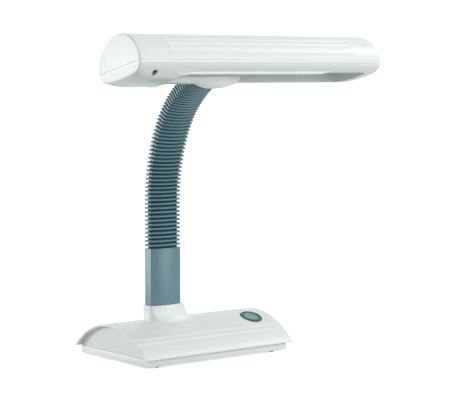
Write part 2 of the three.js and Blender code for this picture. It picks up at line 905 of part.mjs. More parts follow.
function reedSolid(i) {
  const angle = THREE.MathUtils.degToRad(reedFirstDegrees + i * reedStepDegrees);
  const sink = reedRadius - reedHeight;
  const geometry = new THREE.CapsuleGeometry(reedRadius, reedRight - reedLeft - 2 * reedRadius, 3, 10);
  geometry.rotateZ(Math.PI / 2);
  geometry.translate(
    (reedLeft + reedRight) / 2,
    -(headHalfWidth - sink) * Math.sin(angle),
    (headTopHeight - sink) * Math.cos(angle),
  );
  return solidOf(geometry);
}

function makeHeadCover() {
  let cover = headBody(0);
  for (let i = 0; i < reedCount; i += 1) {
    cover = cover.add(reedSolid(i));
  }
  cover = cover.subtract(headBody(headWall));
  const boss = post(screwBossRadius, headScrewX, 0, headFloor + fit, headTopHeight - headWall / 2);
  const hole = post(screwShank + fit, headScrewX, 0, headFloor, headScrewTop + fit, screwSides);
  cover = cover.intersect(headSlab(fit / 2, 2 * headTopHeight)).add(boss).subtract(hole);
  return meshOf("head_cover", cover, whitePlastic);
}

// Lamp chamber: a deeper pad under the left end, inset by a wall for its hollow
function chamberSolid(inset) {
  const right = windowLeft - inset;
  const rings = chamberDepths.map((depth, i) => {
    const left = chamberLefts[i] + inset;
    const half = chamberHalfWidths[i] - inset;
    return levelRing((right - left) / 2, half, headWall, (left + right) / 2, 0, inset - depth);
  });
  return loft(rings);
}

// Flat and ramp behind the window's left corner, from the chamber's depth to the bridge
function rampSolid() {
  const back = windowHalfWidth + overrun;
  const ring = (x, depth) => [
    new THREE.Vector3(x, -bridgeFront, -depth),
    new THREE.Vector3(x, back, -depth),
    new THREE.Vector3(x, back, -bridgeTop),
    new THREE.Vector3(x, -bridgeFront, -bridgeTop),
  ];
  const depth = chamberDepths[0];
  return loft([
    ring(windowLeft - headWall / 2, depth),
    ring(chamberFlatRight, depth),
    ring(chamberRampRight, bridgeDepth),
  ]);
}

// Light window with rounded corners, grown by a margin, between two levels
function windowSolid(margin, z0, z1) {
  const halfLength = (windowRight - windowLeft) / 2 + margin;
  const middle = (windowLeft + windowRight) / 2;
  const ring = (z) => levelRing(halfLength, windowHalfWidth + margin, windowCorner, middle, 0, z);
  return loft([ring(z0), ring(z1)]);
}

// Visor along the window's front edge, which fades out towards the right
function visorSolid() {
  const left = windowLeft - frameWall;
  const right = visorFade[visorFade.length - 1][0];
  const fade = visorFade.map(([x, share]) => [x, -frameDepth - (visorDepth - frameDepth) * share]);
  const outline = [[left, -frameTop], [left, -visorDepth], ...fade, [right, -frameTop]];
  const shape = new THREE.Shape(outline.map(([x, z]) => new THREE.Vector2(x, z)));
  const geometry = new THREE.ExtrudeGeometry(shape, { depth: frameWall, bevelEnabled: false });
  geometry.rotateX(Math.PI / 2);
  geometry.translate(0, -windowHalfWidth, 0);
  return solidOf(geometry);
}

// Rounded boss under the bridge and the block that clamps the end of the neck
function bossSolid() {
  const geometry = new THREE.SphereGeometry(1, 24, 16);
  geometry.rotateX(Math.PI / 2);
  geometry.scale(bossHalfLength, bossHalfWidth, bossDrop);
  geometry.translate(bossX, bossBack, -bossLevel);
  const lower = headSlab(-2 * headBottomDepth, -bridgeTop);
  const x0 = neckX - clampHalfLength;
  const x1 = neckX + clampHalfLength;
  const clamp = block(x0, x1, -clampFront, clampBack, -headBottomDepth, -clampTop);
  return solidOf(geometry).intersect(lower).add(clamp);
}

// Room for the neck's end, its core and the two screws that hold it
function cutNeckRoom(housing) {
  const clearance = 2 * fit;
  const hoseSpace = neckOutline(neckWidth / 2 + clearance, neckDepth / 2 + clearance, neckCorner);
  const coreSpace = cutRectangle(coreWidth / 2 + fit, coreThickness / 2 + fit, neckCorner / 2);
  const hoseEnd = neckLength + fit;
  let cut = housing.subtract(neckSpace(neckLength - sectionLength, hoseEnd, hoseSpace));
  cut = cut.subtract(neckSpace(neckLength - ribPitch, neckLength + coreTongue + fit, coreSpace));
  for (const [x, y] of clampScrewPlaces) {
    const pocket = post(screwHead + fit, x, y, clampHeadSeat - fit, overrun, screwSides);
    const hole = post(screwShank + fit, x, y, -headBottomDepth + fit, overrun, screwSides);
    cut = cut.subtract(pocket).subtract(hole);
  }
  return cut;
}

function makeHeadHousing() {
  const reach = headHalfWidth + bandProud;
  const band = block(headLeft + endBevel, headRight - endBevel, -reach, 0, -bandHeight, -fit / 2);
  const back = windowHalfWidth + overrun;
  const bridge = block(windowLeft, bridgeRight, -bridgeFront, back, -bridgeDepth, -bridgeTop);
  const frame = windowSolid(frameWall, -frameDepth, -frameTop).add(visorSolid());
  let housing = headBody(0).intersect(headSlab(-2 * headTopHeight, -fit / 2));
  housing = housing.add(band).add(chamberSolid(0)).add(frame);
  housing = housing.subtract(headBody(headWall).subtract(frame)).subtract(chamberSolid(headWall));
  housing = housing.subtract(windowSolid(0, -2 * visorDepth, overrun));
  housing = housing.add(bridge).add(rampSolid()).add(bossSolid());
  housing = cutNeckRoom(housing);

  const screwSeat = -headBottomDepth + screwHeadHeight;
  const pocket = post(screwHead + fit, headScrewX, 0, -2 * headBottomDepth, screwSeat);
  const hole = post(screwShank + fit, headScrewX, 0, -2 * headBottomDepth, headFloor + overrun, screwSides);
  housing = housing.subtract(pocket).subtract(hole);

  const outside = -2 * headHalfWidth;
  const x = socketScrewX;
  const z = socketScrewLevel;
  const lug = rod(screwBossRadius, x, z, -socketLugFront, -holderHalfWidth - fit, screwSides);
  const recess = rod(screwHead + fit, x, z, outside, -socketRecessEnd);
  const bore = rod(screwShank + fit, x, z, outside, 0, screwSides);
  housing = housing.add(lug).subtract(recess).subtract(bore);
  return meshOf("head_housing", housing, whitePlastic);
}

// Screw that stands upright in the head, driven from below or from above
function headScrewSolid(x, y, headZ0, tipZ) {
  const headZ1 = headZ0 + screwHeadHeight;
  const shank = post(screwShank, x, y, Math.min(headZ0, tipZ), Math.max(headZ1, tipZ), screwSides);
  return post(screwHead, x, y, headZ0, headZ1, screwSides).add(shank);
}

function makeHeadScrews() {
  const group = new THREE.Group();
  const main = headScrewSolid(headScrewX, 0, -headBottomDepth, headScrewTop);
  group.add(meshOf("head_screw", main, darkSteel));
  clampScrewPlaces.forEach(([x, y], i) => {
    const screw = headScrewSolid(x, y, clampHeadSeat, -headBottomDepth + 2 * fit);
    group.add(meshOf(`clamp_screw_${i + 1}`, screw, steel));
  });
  const tip = -holderHalfWidth + socketScrewBite;
  const front = -socketRecessEnd;
  const head = rod(screwHead, socketScrewX, socketScrewLevel, front - screwHeadHeight - fit, front - fit);
  const shank = rod(screwShank, socketScrewX, socketScrewLevel, front - fit, tip, screwSides);
  group.add(meshOf("socket_screw", head.add(shank), darkSteel));
  return group;
}

// Both glass tubes with their round ends and the bridge that joins them
function makeTubes() {
  const start = windowLeft + fit;
  const length = tubeRight - start - 2 * tubeRadius;
  const middle = (start + tubeRight) / 2;
  let glass = null;
  for (const side of [-1, 1]) {
    const geometry = new THREE.CapsuleGeometry(tubeRadius, length, 4, tubeSides);
    geometry.rotateZ(Math.PI / 2);
    geometry.translate(middle, (side * tubeSpacing) / 2, tubeLevel);
    const tube = solidOf(geometry);
    glass = glass ? glass.add(tube) : tube;
  }
  const bridgeX = tubeRight - 2 * tubeRadius;
  const bridge = rod(tubeRadius / 2, bridgeX, tubeLevel, -tubeSpacing / 2, tubeSpacing / 2, screwSides);
  return meshOf("lamp_tube", glass.add(bridge), lampGlass);
}

function pinPlaces() {
  return [-1, 1].map((side) => (side * pinSpacing) / 2);
}

// Pin that lies along X
function pin(radius, x0, x1, y) {
  const geometry = new THREE.CylinderGeometry(radius, radius, x1 - x0, screwSides);
  geometry.rotateZ(Math.PI / 2);
  geometry.translate((x0 + x1) / 2, y, tubeLevel);
  return solidOf(geometry);
}

function makeCapAndHolder() {
  const group = new THREE.Group();
  const right = windowLeft;
  const left = right - capLength;
  const level = tubeLevel;
  const plug = (grow) =>
    block(
      left - plugLength - grow,
      left + overrun,
      -plugHalfWidth - grow,
      plugHalfWidth + grow,
      level - plugHalfHeight - grow,
      level + plugHalfHeight + grow,
    );
  let cap = block(left, right, -capHalfWidth, capHalfWidth, level - capHalfHeight, level + capHalfHeight);
  cap = cap.add(plug(0));
  const bottom = -chamberDepths[0] + headWall + fit;
  const holderRight = left - fit;
  let holder = block(holderLeft, holderRight, -holderHalfWidth, holderHalfWidth, bottom, holderTop);
  holder = holder.subtract(plug(fit));
  for (const y of pinPlaces()) {
    cap = cap.add(pin(pinRadius, left - pinLength, left + overrun, y));
    holder = holder.subtract(pin(pinRadius + fit, left - pinLength - fit, left + overrun, y));
  }
  const screwEnd = -holderHalfWidth + socketScrewBite + fit;
  const front = -holderHalfWidth - overrun;
  const hole = rod(screwShank + fit, socketScrewX, socketScrewLevel, front, screwEnd, screwSides);
  group.add(meshOf("lamp_cap", cap, whitePlastic));
  group.add(meshOf("lamp_holder", holder.subtract(hole), blackPlastic));
  return group;
}

// Trough over the tubes: straight skirts below and a half ellipse above
function troughOutline(inset, bottom) {
  const half = windowHalfWidth - fit - inset;
  const rise = reflectorTop - reflectorShoulder - inset;
  const outline = [[half, bottom]];
  for (let i = 0; i <= reflectorSteps; i += 1) {
    const angle = (Math.PI * i) / reflectorSteps;
    outline.push([half * Math.cos(angle), reflectorShoulder + rise * Math.sin(angle)]);
  }
  outline.push([-half, bottom]);
  return outline;
}

// Reflector that hangs in the window by two flanges
function makeReflector() {
  const left = windowLeft + 2 * fit;
  const right = windowRight - fit;
  const bottom = -reflectorBottom;
  const outer = solidOf(prism(troughOutline(0, bottom), left, right));
  const hollow = troughOutline(reflectorWall, bottom - overrun);
  const inner = solidOf(prism(hollow, left - overrun, right - reflectorWall));
  const half = windowHalfWidth + flangeReach;
  const flangeBottom = -frameTop + fit;
  const x0 = windowLeft + windowCorner;
  const x1 = windowRight - windowCorner;
  const flange = block(x0, x1, -half, half, flangeBottom, flangeBottom + reflectorWall);
  const corners = windowSolid(-fit, bottom - overrun, flangeBottom);
  const lower = outer.intersect(corners);
  const upper = outer.intersect(headSlab(flangeBottom, 2 * headTopHeight)).add(flange);
  return meshOf("reflector", lower.add(upper).subtract(inner), whitePlastic);
}

// Clip that grips both tubes from above and hangs from the reflector
function makeClip() {
  const x0 = clipX - clipLength / 2;
  const x1 = clipX + clipLength / 2;
  const half = tubeSpacing / 2 + tubeRadius + clipWall;
  const top = tubeLevel + tubeRadius + clipWall;
  const stemTop = reflectorTop - reflectorWall - fit;
  let clip = block(x0, x1, -half, half, tubeLevel, top);
  clip = clip.add(block(x0, x1, -clipStem / 2, clipStem / 2, top - overrun / 2, stemTop));
  for (const side of [-1, 1]) {
    const geometry = new THREE.CylinderGeometry(
      tubeRadius + fit,
      tubeRadius + fit,
      clipLength + 2 * overrun,
      tubeSides,
    );
    geometry.rotateZ(Math.PI / 2);
    geometry.translate(clipX, (side * tubeSpacing) / 2, tubeLevel);
    clip = clip.subtract(solidOf(geometry));
  }
  return meshOf("lamp_clip", clip, whitePlastic);
}

function makeHead() {
  const group = new THREE.Group();
  group.applyMatrix4(headFrame);
  group.add(makeHeadCover());
  group.add(makeHeadHousing());
  group.add(makeHeadScrews());
  group.add(makeTubes());
  group.add(makeCapAndHolder());
  group.add(makeReflector());
  group.add(makeClip());
  return group;
}

// The whole lamp, with its origin under the middle of its box
const lamp = new THREE.Group();
lamp.add(makeTray());
lamp.add(makeShell());
lamp.add(makeBush());
lamp.add(makeFeetAndScrews());
lamp.add(makeSwitch());
lamp.add(makeBaseContents());
lamp.add(makeNeckMount());
lamp.add(makeNeck());
lamp.add(makeHead());

const bounds = new THREE.Box3().setFromObject(lamp, true);
const centre = bounds.getCenter(new THREE.Vector3());
lamp.position.set(-centre.x, -centre.y, -bounds.min.z);

export default lamp;
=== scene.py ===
import math

import bmesh
import bpy
import numpy as np
from mathutils import Matrix, Vector


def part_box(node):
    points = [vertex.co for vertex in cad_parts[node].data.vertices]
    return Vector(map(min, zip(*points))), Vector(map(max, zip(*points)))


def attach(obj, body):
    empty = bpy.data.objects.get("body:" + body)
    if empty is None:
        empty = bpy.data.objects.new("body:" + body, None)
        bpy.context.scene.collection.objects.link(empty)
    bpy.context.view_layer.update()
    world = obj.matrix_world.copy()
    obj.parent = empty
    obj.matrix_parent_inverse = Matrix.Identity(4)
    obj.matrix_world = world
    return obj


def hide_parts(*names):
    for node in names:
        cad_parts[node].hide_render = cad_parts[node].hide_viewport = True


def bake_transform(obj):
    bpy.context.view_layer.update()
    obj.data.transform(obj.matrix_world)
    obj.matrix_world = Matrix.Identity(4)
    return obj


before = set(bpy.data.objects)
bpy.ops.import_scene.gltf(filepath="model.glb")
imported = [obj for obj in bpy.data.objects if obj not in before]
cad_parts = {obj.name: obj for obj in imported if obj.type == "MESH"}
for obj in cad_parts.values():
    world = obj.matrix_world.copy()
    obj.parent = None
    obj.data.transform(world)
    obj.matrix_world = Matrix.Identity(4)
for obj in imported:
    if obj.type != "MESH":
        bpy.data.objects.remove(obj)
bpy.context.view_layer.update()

# Sizes in millimetres, in the frame of the base tray, with Z up from the table
MM = 0.001
FIT = 0.3
TINY = 1e-6
ON_AXIS = 0.001

# Distances in metres for cleaning meshes
WELD = 2e-6
SHORT_EDGE = 1e-6

# Base shell: an arc whose flanks carry bands that end with a drop at two step lines
TRAY_TOP = 10.3
SHELL_BOTTOM = TRAY_TOP + FIT
SHELL_WALL = 2.6
SHELL_HALF_LENGTH = 106
SHELL_HALF_DEPTH = 71
PANEL_X = 100
LIP_HALF_DEPTH = 70.3
LIP_ROUND_OUT = 1.0
LIP_ROUND_IN = 0.5
LIP_BEVEL = (0.12, 0.2)
INNER_HALF_DEPTH = 66.7
INNER_BEVEL = (0.04, 0.05)
ARC_RADIUS = 93.8
INNER_RADIUS = ARC_RADIUS - SHELL_WALL
CREST = 42.5
ARC_CENTRE = CREST - ARC_RADIUS
STEP_LINES = (47.4, 53.9)
STEP_RUN = 0.3
STEP_EDGE = 0.12
# Distance from the middle and height over the arc
STEP_RISE = (
    (38, 0), (41, 0.12), (44.2, 0.5), (47.1, 1.15), (47.7, 0.35), (53.6, 1.2), (54.2, 0.4), (70.3, 1.4),
)
BAND_EDGE = STEP_LINES[0] - STEP_RUN - STEP_EDGE
BAND_PLACES = (49.8, 51.6)
FLANK_START = 56
BUSH_HALF_WIDTH = 6.6
BUSH_HEIGHT = 11.9

# Switch, in a frame square to the shell
BUTTON_X = 77.2
BUTTON_Y = -28
BUTTON_RADIUS = 9.2
BUTTON_END = -6.1
DISH_RADIUS = 7.6
DISH_DEPTH = 0.9
DISH_EDGE = 0.05
BEZEL_RADIUS = 13.1
BEZEL_SLEEVE = 11.6
BEZEL_SEAT = -1.2
BEZEL_BACK = -0.9
BEZEL_END = -9.4
HOLE_REACH = 17
HOLE_X = (BUTTON_X - HOLE_REACH, BUTTON_X + HOLE_REACH)
HOLE_Y = (BUTTON_Y - HOLE_REACH, BUTTON_Y + HOLE_REACH)

# Collar, sleeve and hose of the neck
NECK_X = -31
NECK_Y = 0.5
NECK_HALF_WIDTH = 20.9
NECK_HALF_DEPTH = 6.2
NECK_CORNER = 0.8
NECK_GAP_HALF = 21.5
NECK_GAP_BACK = 7.5
NECK_GAP_X = (NECK_X - NECK_GAP_HALF, NECK_X + NECK_GAP_HALF)
NECK_GAP_Y = (HOLE_Y[1], NECK_GAP_BACK)
FRONT_BULGE = 4.2
COLLAR_HEIGHT = 17.3
COLLAR_TOP = CREST + COLLAR_HEIGHT
COLLAR_BOTTOM = CREST - 2
COLLAR_MARGIN = 2
COLLAR_CORNER = 2.2
COLLAR_BLEND = 2.2
COLLAR_SINK = 0.12
RIM_SHIFT = 0.5
# How far the collar grows out, in shares of its height, at levels that are shares of its height too
COLLAR_SHARES = (-1.3, -0.26, 0.03, 0.25, 0.42, 0.63, 1)
COLLAR_LEFT = (0.15, 0.05, 0.04, 0.03, 0.015, 0.005, 0)
COLLAR_RIGHT = (1.0, 0.72, 0.54, 0.43, 0.35, 0.26, 0.06)
COLLAR_DEPTH = (0.85, 0.5, 0.35, 0.2, 0.12, 0.06, 0)
FLEX_START = 124.5
SLEEVE_BOTTOM = CREST - 4
SLEEVE_TOP = FLEX_START + 0.8
SLEEVE_WALL = 3.2
SLEEVE_BORE = 12
SECTION = 28.8
SECTIONS = 8
BEND_START = 55
BEND_RADIUS = 188
TIGHT_START = 145
TIGHT_RADIUS = 122
FIRST_GROOVE = 2
RIB_PITCH = 4.75
TOP_PITCH = 3.9
PITCH_FALL = 120
GROOVE_SIDE = 2.5
GROOVE_FRONT = 3.1
# Share of a groove's depth beyond which a face takes the painted groove shade
GROOVE_SHADE_SHARE = 0.6
STATION_GAP = 0.05
CORE_SIDE = 4
CORE_FRONT = 3.6
# Distance from the groove's middle in shares of the pitch, and share of the groove's depth there
GROOVE_SHARES = ((0, 1), (0.14, 1), (0.19, 0.9), (0.245, 0.25), (0.28, 0.08), (0.34, 0), (0.5, 0))

# Head, in its own frame: Y forward is negative and Z points out of its top
HEAD_LEFT = -144
HEAD_RIGHT = 200.5
HEAD_Y = -78
HEAD_Z = 331.8
HEAD_TILT = math.radians(12.15)
HEAD_HALF_WIDTH = 40
HEAD_TOP = 35.95
HEAD_BOTTOM = 13.6
HEAD_WALL = 2.2
HEAD_FINE = (-60, 120)
CAVITY_TOP = 5
RIM_LEVEL = FIT / 2
END_ROUND = 1.6
END_LEAN = 0.05
REED_LEFT = -104.7
REED_RIGHT = 161
REED_RADIUS = 2.2
REED_HEIGHT = 0.9
REED_BLEND = 0.22
REED_REACH = 3
REED_FADE = 1.4
REED_END = 3.4
REED_ANGLES = [math.radians(46 + 10.5 * i) for i in range(4)]
BAND_HEIGHT = 2.9
BAND_PROUD = 0.4
BAND_SOFT = 0.1
BAND_FALL = 0.25
BAND_LEVELS = (0.15, 0.4, 2.7, 2.9, 3.05, 3.4)
BAND_FOOT = 3.6
LEAST_BOTTOM = HEAD_BOTTOM - 4
PAD_DEPTH = 4.6
PAD_HALF_WIDTH = 37.5
PAD_FLANK = 0.42
PAD_FADE = 6
WINDOW_LEFT = -88
WINDOW_RIGHT = 187
WINDOW_HALF = 27.5
WINDOW_CORNER = 6
FRAME_WALL = 3.5
FRAME_DEPTH = 11.2
FRAME_TOP = 8
VISOR_DEPTH = 13.9
VISOR_SOFT = 0.35
VISOR_FADE = ((104, 1), (110, 0.98), (116, 0.86), (122, 0.45), (128, 0.08))
BRIDGE_FRONT = -5
BRIDGE_LEVEL = -9.5
BRIDGE_BACK = WINDOW_HALF + 1
BOSS_X = -18.3
BOSS_LEFT = 36
BOSS_RIGHT = 33
BOSS_FOOT = 12
BOSS_RISE = 11.2
BOSS_BLEND = 0.8
CLAMP_X = (-76, -7)
CLAMP_Y = (-14, 20)
CLAMP_Z = (-HEAD_BOTTOM + 0.05, -1.6)
NECK_ROOM = 0.6
SOCKET_X = -120.6
SOCKET_Z = -13
LUG_RADIUS = 3.6
LUG_Y = (-29, -16.8)
DIMPLE_RADII = (3.9, 5.4, 3.7)
DIMPLE_PLACE = (SOCKET_X, -33, SOCKET_Z)
BORE_RADII = (2.6, 7, 1.35)
BORE_PLACE = (SOCKET_X + 0.8, -30, SOCKET_Z + 1.8)

# Lamp and reflector, in the head's frame
TUBE_RADIUS = 6.2
TUBE_SPACING = 14.6
TUBE_LEVEL = 8
TUBE_RIGHT = 126
TUBE_CURVE = 20
TROUGH_LEFT = WINDOW_LEFT + 0.6
TROUGH_RIGHT = WINDOW_RIGHT - FIT
TROUGH_WALL = 0.8
TROUGH_BOTTOM = -9.2
TROUGH_SPRING = 4
TROUGH_RISE = 21
FLANGE_INSET = 6
FLANGE_HALF = 29.5
FLANGE_OPENING = 26.8
FLANGE_Z = (-7.7, -6.9)

tray_low, tray_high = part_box("base_tray")
OFFSET = np.array([(tray_low.x + tray_high.x) / 2, (tray_low.y + tray_high.y) / 2, 0])


def smooth_step(t):
    t = np.clip(t, 0, 1)
    return t * t * (3 - 2 * t)


def soft_positive(value, softness):
    """About value where it is positive and about zero where it is negative."""
    return (value + np.sqrt(value * value + softness * softness)) / 2


def curve_through(xs, ys):
    """Smooth function through points, monotone between them."""
    xs, ys = np.array(xs, float), np.array(ys, float)
    slopes = np.diff(ys) / np.diff(xs)
    tangents = np.zeros(len(xs))
    tangents[0], tangents[-1] = slopes[0], slopes[-1]
    for i in range(1, len(xs) - 1):
        if slopes[i - 1] * slopes[i] > 0:
            tangents[i] = 2 * slopes[i - 1] * slopes[i] / (slopes[i - 1] + slopes[i])

    def value(x):
        x = np.clip(x, xs[0], xs[-1])
        i = np.clip(np.searchsorted(xs, x) - 1, 0, len(xs) - 2)
        h = xs[i + 1] - xs[i]
        t = (x - xs[i]) / h
        a = ys[i] * (1 + 2 * t) * (1 - t) ** 2 + ys[i + 1] * t * t * (3 - 2 * t)
        return a + h * (tangents[i] * t * (1 - t) ** 2 - tangents[i + 1] * t * t * (1 - t))

    return value


def within(value, span):
    low, high = span
    return low + TINY < value < high - TINY


def points_of(x, y, z):
    """Points from three coordinates, each a list or one number for all."""
    return np.column_stack(np.broadcast_arrays(x, y, z)).astype(float)


def full_turn(count):
    return np.linspace(0, 2 * math.pi, count, endpoint=False)


# Meshes
class Shape:
    """Points and faces in millimetres, gathered from strips and caps."""

    def __init__(self):
        self.points = []
        self.faces = []

    def strip(self, rows, closed=False):
        """Quads over rows that all have the same number of points."""
        rows = np.asarray(rows, float)
        count = rows.shape[1]
        first = len(self.points)
        self.points.extend(map(tuple, rows.reshape(-1, 3)))
        for r in range(rows.shape[0] - 1):
            for i in range(count if closed else count - 1):
                a = first + r * count + i
                b = first + r * count + (i + 1) % count
                self.faces.append((a, b, b + count, a + count))
        return self

    def cap(self, ring, flip=False):
        """One flat face over a ring."""
        first = len(self.points)
        self.points.extend(map(tuple, np.asarray(ring, float)))
        face = range(first, len(self.points))
        self.faces.append(tuple(reversed(face)) if flip else tuple(face))
        return self

    def loft(self, rings):
        """Closed skin over rings, with a flat cap at both ends."""
        self.strip(rings, closed=True)
        self.cap(rings[0], flip=True)
        self.cap(rings[-1])
        return self

    def moved(self, change):
        self.points = list(map(tuple, change(np.array(self.points, float))))
        return self


def to_room(points):
    return np.asarray(points, float) * MM + OFFSET


def add_object(name, data):
    thing = bpy.data.objects.new(name, data)
    bpy.context.scene.collection.objects.link(thing)
    return thing


def mesh_object(name, shape):
    """Blender object for a shape, welded and facing out."""
    mesh = bpy.data.meshes.new(name)
    mesh.from_pydata([tuple(p) for p in to_room(shape.points)], [], shape.faces)
    work = bmesh.new()
    work.from_mesh(mesh)
    bmesh.ops.remove_doubles(work, verts=work.verts, dist=WELD)
    bmesh.ops.dissolve_degenerate(work, edges=work.edges, dist=SHORT_EDGE)
    bmesh.ops.recalc_face_normals(work, faces=work.faces)
    work.to_mesh(mesh)
    work.free()
    return add_object(name, mesh)


def shade(thing, degrees):
    """Smooth shading with sharp edges above an angle."""
    thing.data.shade_smooth()
    thing.data.set_sharp_from_angle(angle=math.radians(degrees))
    return thing


def with_modifier(thing, kind, **settings):
    """Adds one modifier and applies it to the mesh."""
    modifier = thing.modifiers.new(kind.lower(), kind)
    for key, value in settings.items():
        setattr(modifier, key, value)
    graph = bpy.context.evaluated_depsgraph_get()
    mesh = bpy.data.meshes.new_from_object(thing.evaluated_get(graph))
    thing.modifiers.clear()
    thing.data = mesh


def combine(thing, other, operation):
    """Cuts, joins or intersects with another closed object, which is used up."""
    with_modifier(thing, "BOOLEAN", operation=operation, solver="MANIFOLD", object=other)
    bpy.data.objects.remove(other)


def soften(thing, width, degrees):
    """Rounds the edges above an angle."""
    angle = math.radians(degrees)
    with_modifier(thing, "BEVEL", width=width * MM, segments=2, limit_method="ANGLE", angle_limit=angle)


def finish_piece(thing, body, material, slot, nodes=()):
    """Material, body and the CAD nodes that the piece stands for."""
    thing.data.materials.clear()
    thing.data.materials.append(material)
    for face in thing.data.polygons:
        face.material_index = 0
    if body:
        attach(thing, body)
    if nodes:
        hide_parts(*nodes)


def add_piece(name, shape, degrees, *finish):
    """Piece over a shape, with edges above an angle left sharp."""
    finish_piece(shade(mesh_object(name, shape), degrees), *finish)


def numbered(name, count):
    return [f"{name}_{k}" for k in range(1, count + 1)]


# Materials
NOISE_RANGE = (0.3, 0.7)
GLOSS_SCALE = 140
GLOSS_RANGE = (0.9, 1.12)
COAT_ROUGHNESS = 0.12
GRAIN_DEPTH = 0.0002


def set_inputs(node, values):
    """Values for a node's own sockets."""
    for key, value in values.items():
        node.inputs[key].default_value = value
    return node


def noise_output(tree, scale, detail, coords):
    noise = set_inputs(tree.nodes.new("ShaderNodeTexNoise"), {"Scale": scale, "Detail": detail})
    tree.links.new(coords.outputs["Object"], noise.inputs["Vector"])
    return noise.outputs["Fac"]


def noise_into(tree, scale, detail, low, high, socket, coords):
    """Noise mapped to a small range, into one socket."""
    span = set_inputs(tree.nodes.new("ShaderNodeMapRange"), {
        "From Min": NOISE_RANGE[0], "From Max": NOISE_RANGE[1], "To Min": low, "To Max": high,
    })
    tree.links.new(noise_output(tree, scale, detail, coords), span.inputs["Value"])
    tree.links.new(span.outputs["Result"], socket)


def grain_into(tree, scale, strength, socket, coords):
    """Fine grain as relief, into the normal."""
    relief = set_inputs(tree.nodes.new("ShaderNodeBump"), {"Strength": strength, "Distance": GRAIN_DEPTH})
    tree.links.new(noise_output(tree, scale, 2, coords), relief.inputs["Height"])
    tree.links.new(relief.outputs["Normal"], socket)


def scaled(colour, factor):
    return (*(min(1.0, c * factor) for c in colour), 1)


def surface(name, colour, roughness, spread=0.03, grain=900, bump=0.02, metallic=0.0, coat=0.0, mottle=25,
            specular=0.5):
    """Moulded or metal surface: mottled colour, uneven gloss and a fine grain."""
    material = bpy.data.materials.new(name)
    material.use_nodes = True
    tree = material.node_tree
    shader = set_inputs(tree.nodes["Principled BSDF"], {
        "Metallic": metallic,
        "Specular IOR Level": specular,
        "Coat Weight": coat,
        "Coat Roughness": COAT_ROUGHNESS,
    })
    coords = tree.nodes.new("ShaderNodeTexCoord")
    blend = tree.nodes.new("ShaderNodeMix")
    blend.data_type = "RGBA"
    set_inputs(blend, {"A": scaled(colour, 1 - spread), "B": scaled(colour, 1 + spread)})
    noise_into(tree, mottle, 3, 0, 1, blend.inputs["Factor"], coords)
    tree.links.new(blend.outputs["Result"], shader.inputs["Base Color"])
    low, high = (roughness * share for share in GLOSS_RANGE)
    noise_into(tree, GLOSS_SCALE, 4, low, high, shader.inputs["Roughness"], coords)
    grain_into(tree, grain, bump, shader.inputs["Normal"], coords)
    return material


white = surface("moulded_white", (0.80, 0.83, 0.82), 0.34, spread=0.012, bump=0.03)
# Painted light: a paler copy of the white plastic, so the tray reads as more brightly lit
tray_white_lit = surface("white_with_painted_light", (0.90, 0.93, 0.92), 0.34, spread=0.012, bump=0.03)
# Painted shade: a darker, greener copy of the white plastic for the reflector, which sits in shade inside the
# head
shaded_inner_white = surface("reflector_painted_shade", (0.74, 0.79, 0.77), 0.5, spread=0.015)
cream = surface("moulded_cream", (0.72, 0.70, 0.62), 0.5, bump=0.04)
blue = surface("hose_blue", (0.11, 0.225, 0.265), 0.34, spread=0.05, bump=0.05)
# Painted shade: a darker copy of the hose blue for the bottoms of the grooves, where shade falls
blue_painted_shade = surface("hose_blue_painted_shade", (0.02, 0.065, 0.085), 0.6, spread=0.08, bump=0.05, specular=0.1)
# The button's teal, lightened to take in the glints on it: its own colour with painted highlight mixed in
teal = surface("switch_teal", (0.20, 0.38, 0.36), 0.35, spread=0.05, specular=0.25)
teal_dark = surface("switch_teal_deep", (0.04, 0.115, 0.115), 0.4, spread=0.06, specular=0.3)
black = surface("moulded_black", (0.02, 0.022, 0.024), 0.5, spread=0.15, bump=0.06)
rubber = surface("black_rubber", (0.008, 0.009, 0.01), 0.8, spread=0.2, bump=0.12, grain=1500, specular=0.1)
steel = surface("zinc_steel", (0.52, 0.53, 0.54), 0.32, spread=0.06, metallic=1.0, bump=0.05, mottle=60)
dark_steel = surface("blackened_steel", (0.07, 0.073, 0.076), 0.45, spread=0.12, metallic=0.8, bump=0.08)
iron = surface("cast_iron", (0.06, 0.06, 0.062), 0.7, spread=0.2, metallic=0.6, bump=0.4, grain=450)
copper = surface("enamelled_copper", (0.42, 0.16, 0.07), 0.35, spread=0.12, metallic=0.9, bump=0.3, grain=700)
glass = surface("frosted_glass", (0.86, 0.87, 0.85), 0.14, spread=0.01, bump=0.005, coat=0.6)


# Base shell
def arc_height(y, radius=ARC_RADIUS):
    return ARC_CENTRE + np.sqrt(radius**2 - y**2)


def step_rise(y):
    """Height of the bands over the arc."""
    return np.interp(np.abs(y), *np.array(STEP_RISE).T)


def skin_height(y):
    return arc_height(y) + step_rise(y)


def step_places(line):
    """Places on both sides of the drop at a step line."""
    near, far = line - STEP_RUN, line + STEP_RUN
    return [near - STEP_EDGE, near, far, far + STEP_EDGE]


def shell_places():
    """Places across the whole shell, from the front to the back."""
    near, far = HOLE_Y
    middle = [*np.linspace(-BAND_EDGE, near, 3), *np.linspace(near, far, 19)[1:]]
    middle += [*np.linspace(*NECK_GAP_Y, 10)[1:], *np.linspace(NECK_GAP_BACK, BAND_EDGE, 20)[1:]]
    flank = np.linspace(FLANK_START, LIP_HALF_DEPTH, 8)
    side = [*step_places(STEP_LINES[0]), *BAND_PLACES, *step_places(STEP_LINES[1]), *flank]
    return np.array([-y for y in reversed(side)] + middle[1:-1] + side)


def with_feet(outline, foot, edge, rise):
    """Outline carried down to the shell's bottom edge in front and behind."""
    feet = np.array([[foot, SHELL_BOTTOM], [edge, SHELL_BOTTOM + rise]])
    return np.vstack([feet * [-1, 1], outline, feet[::-1]])


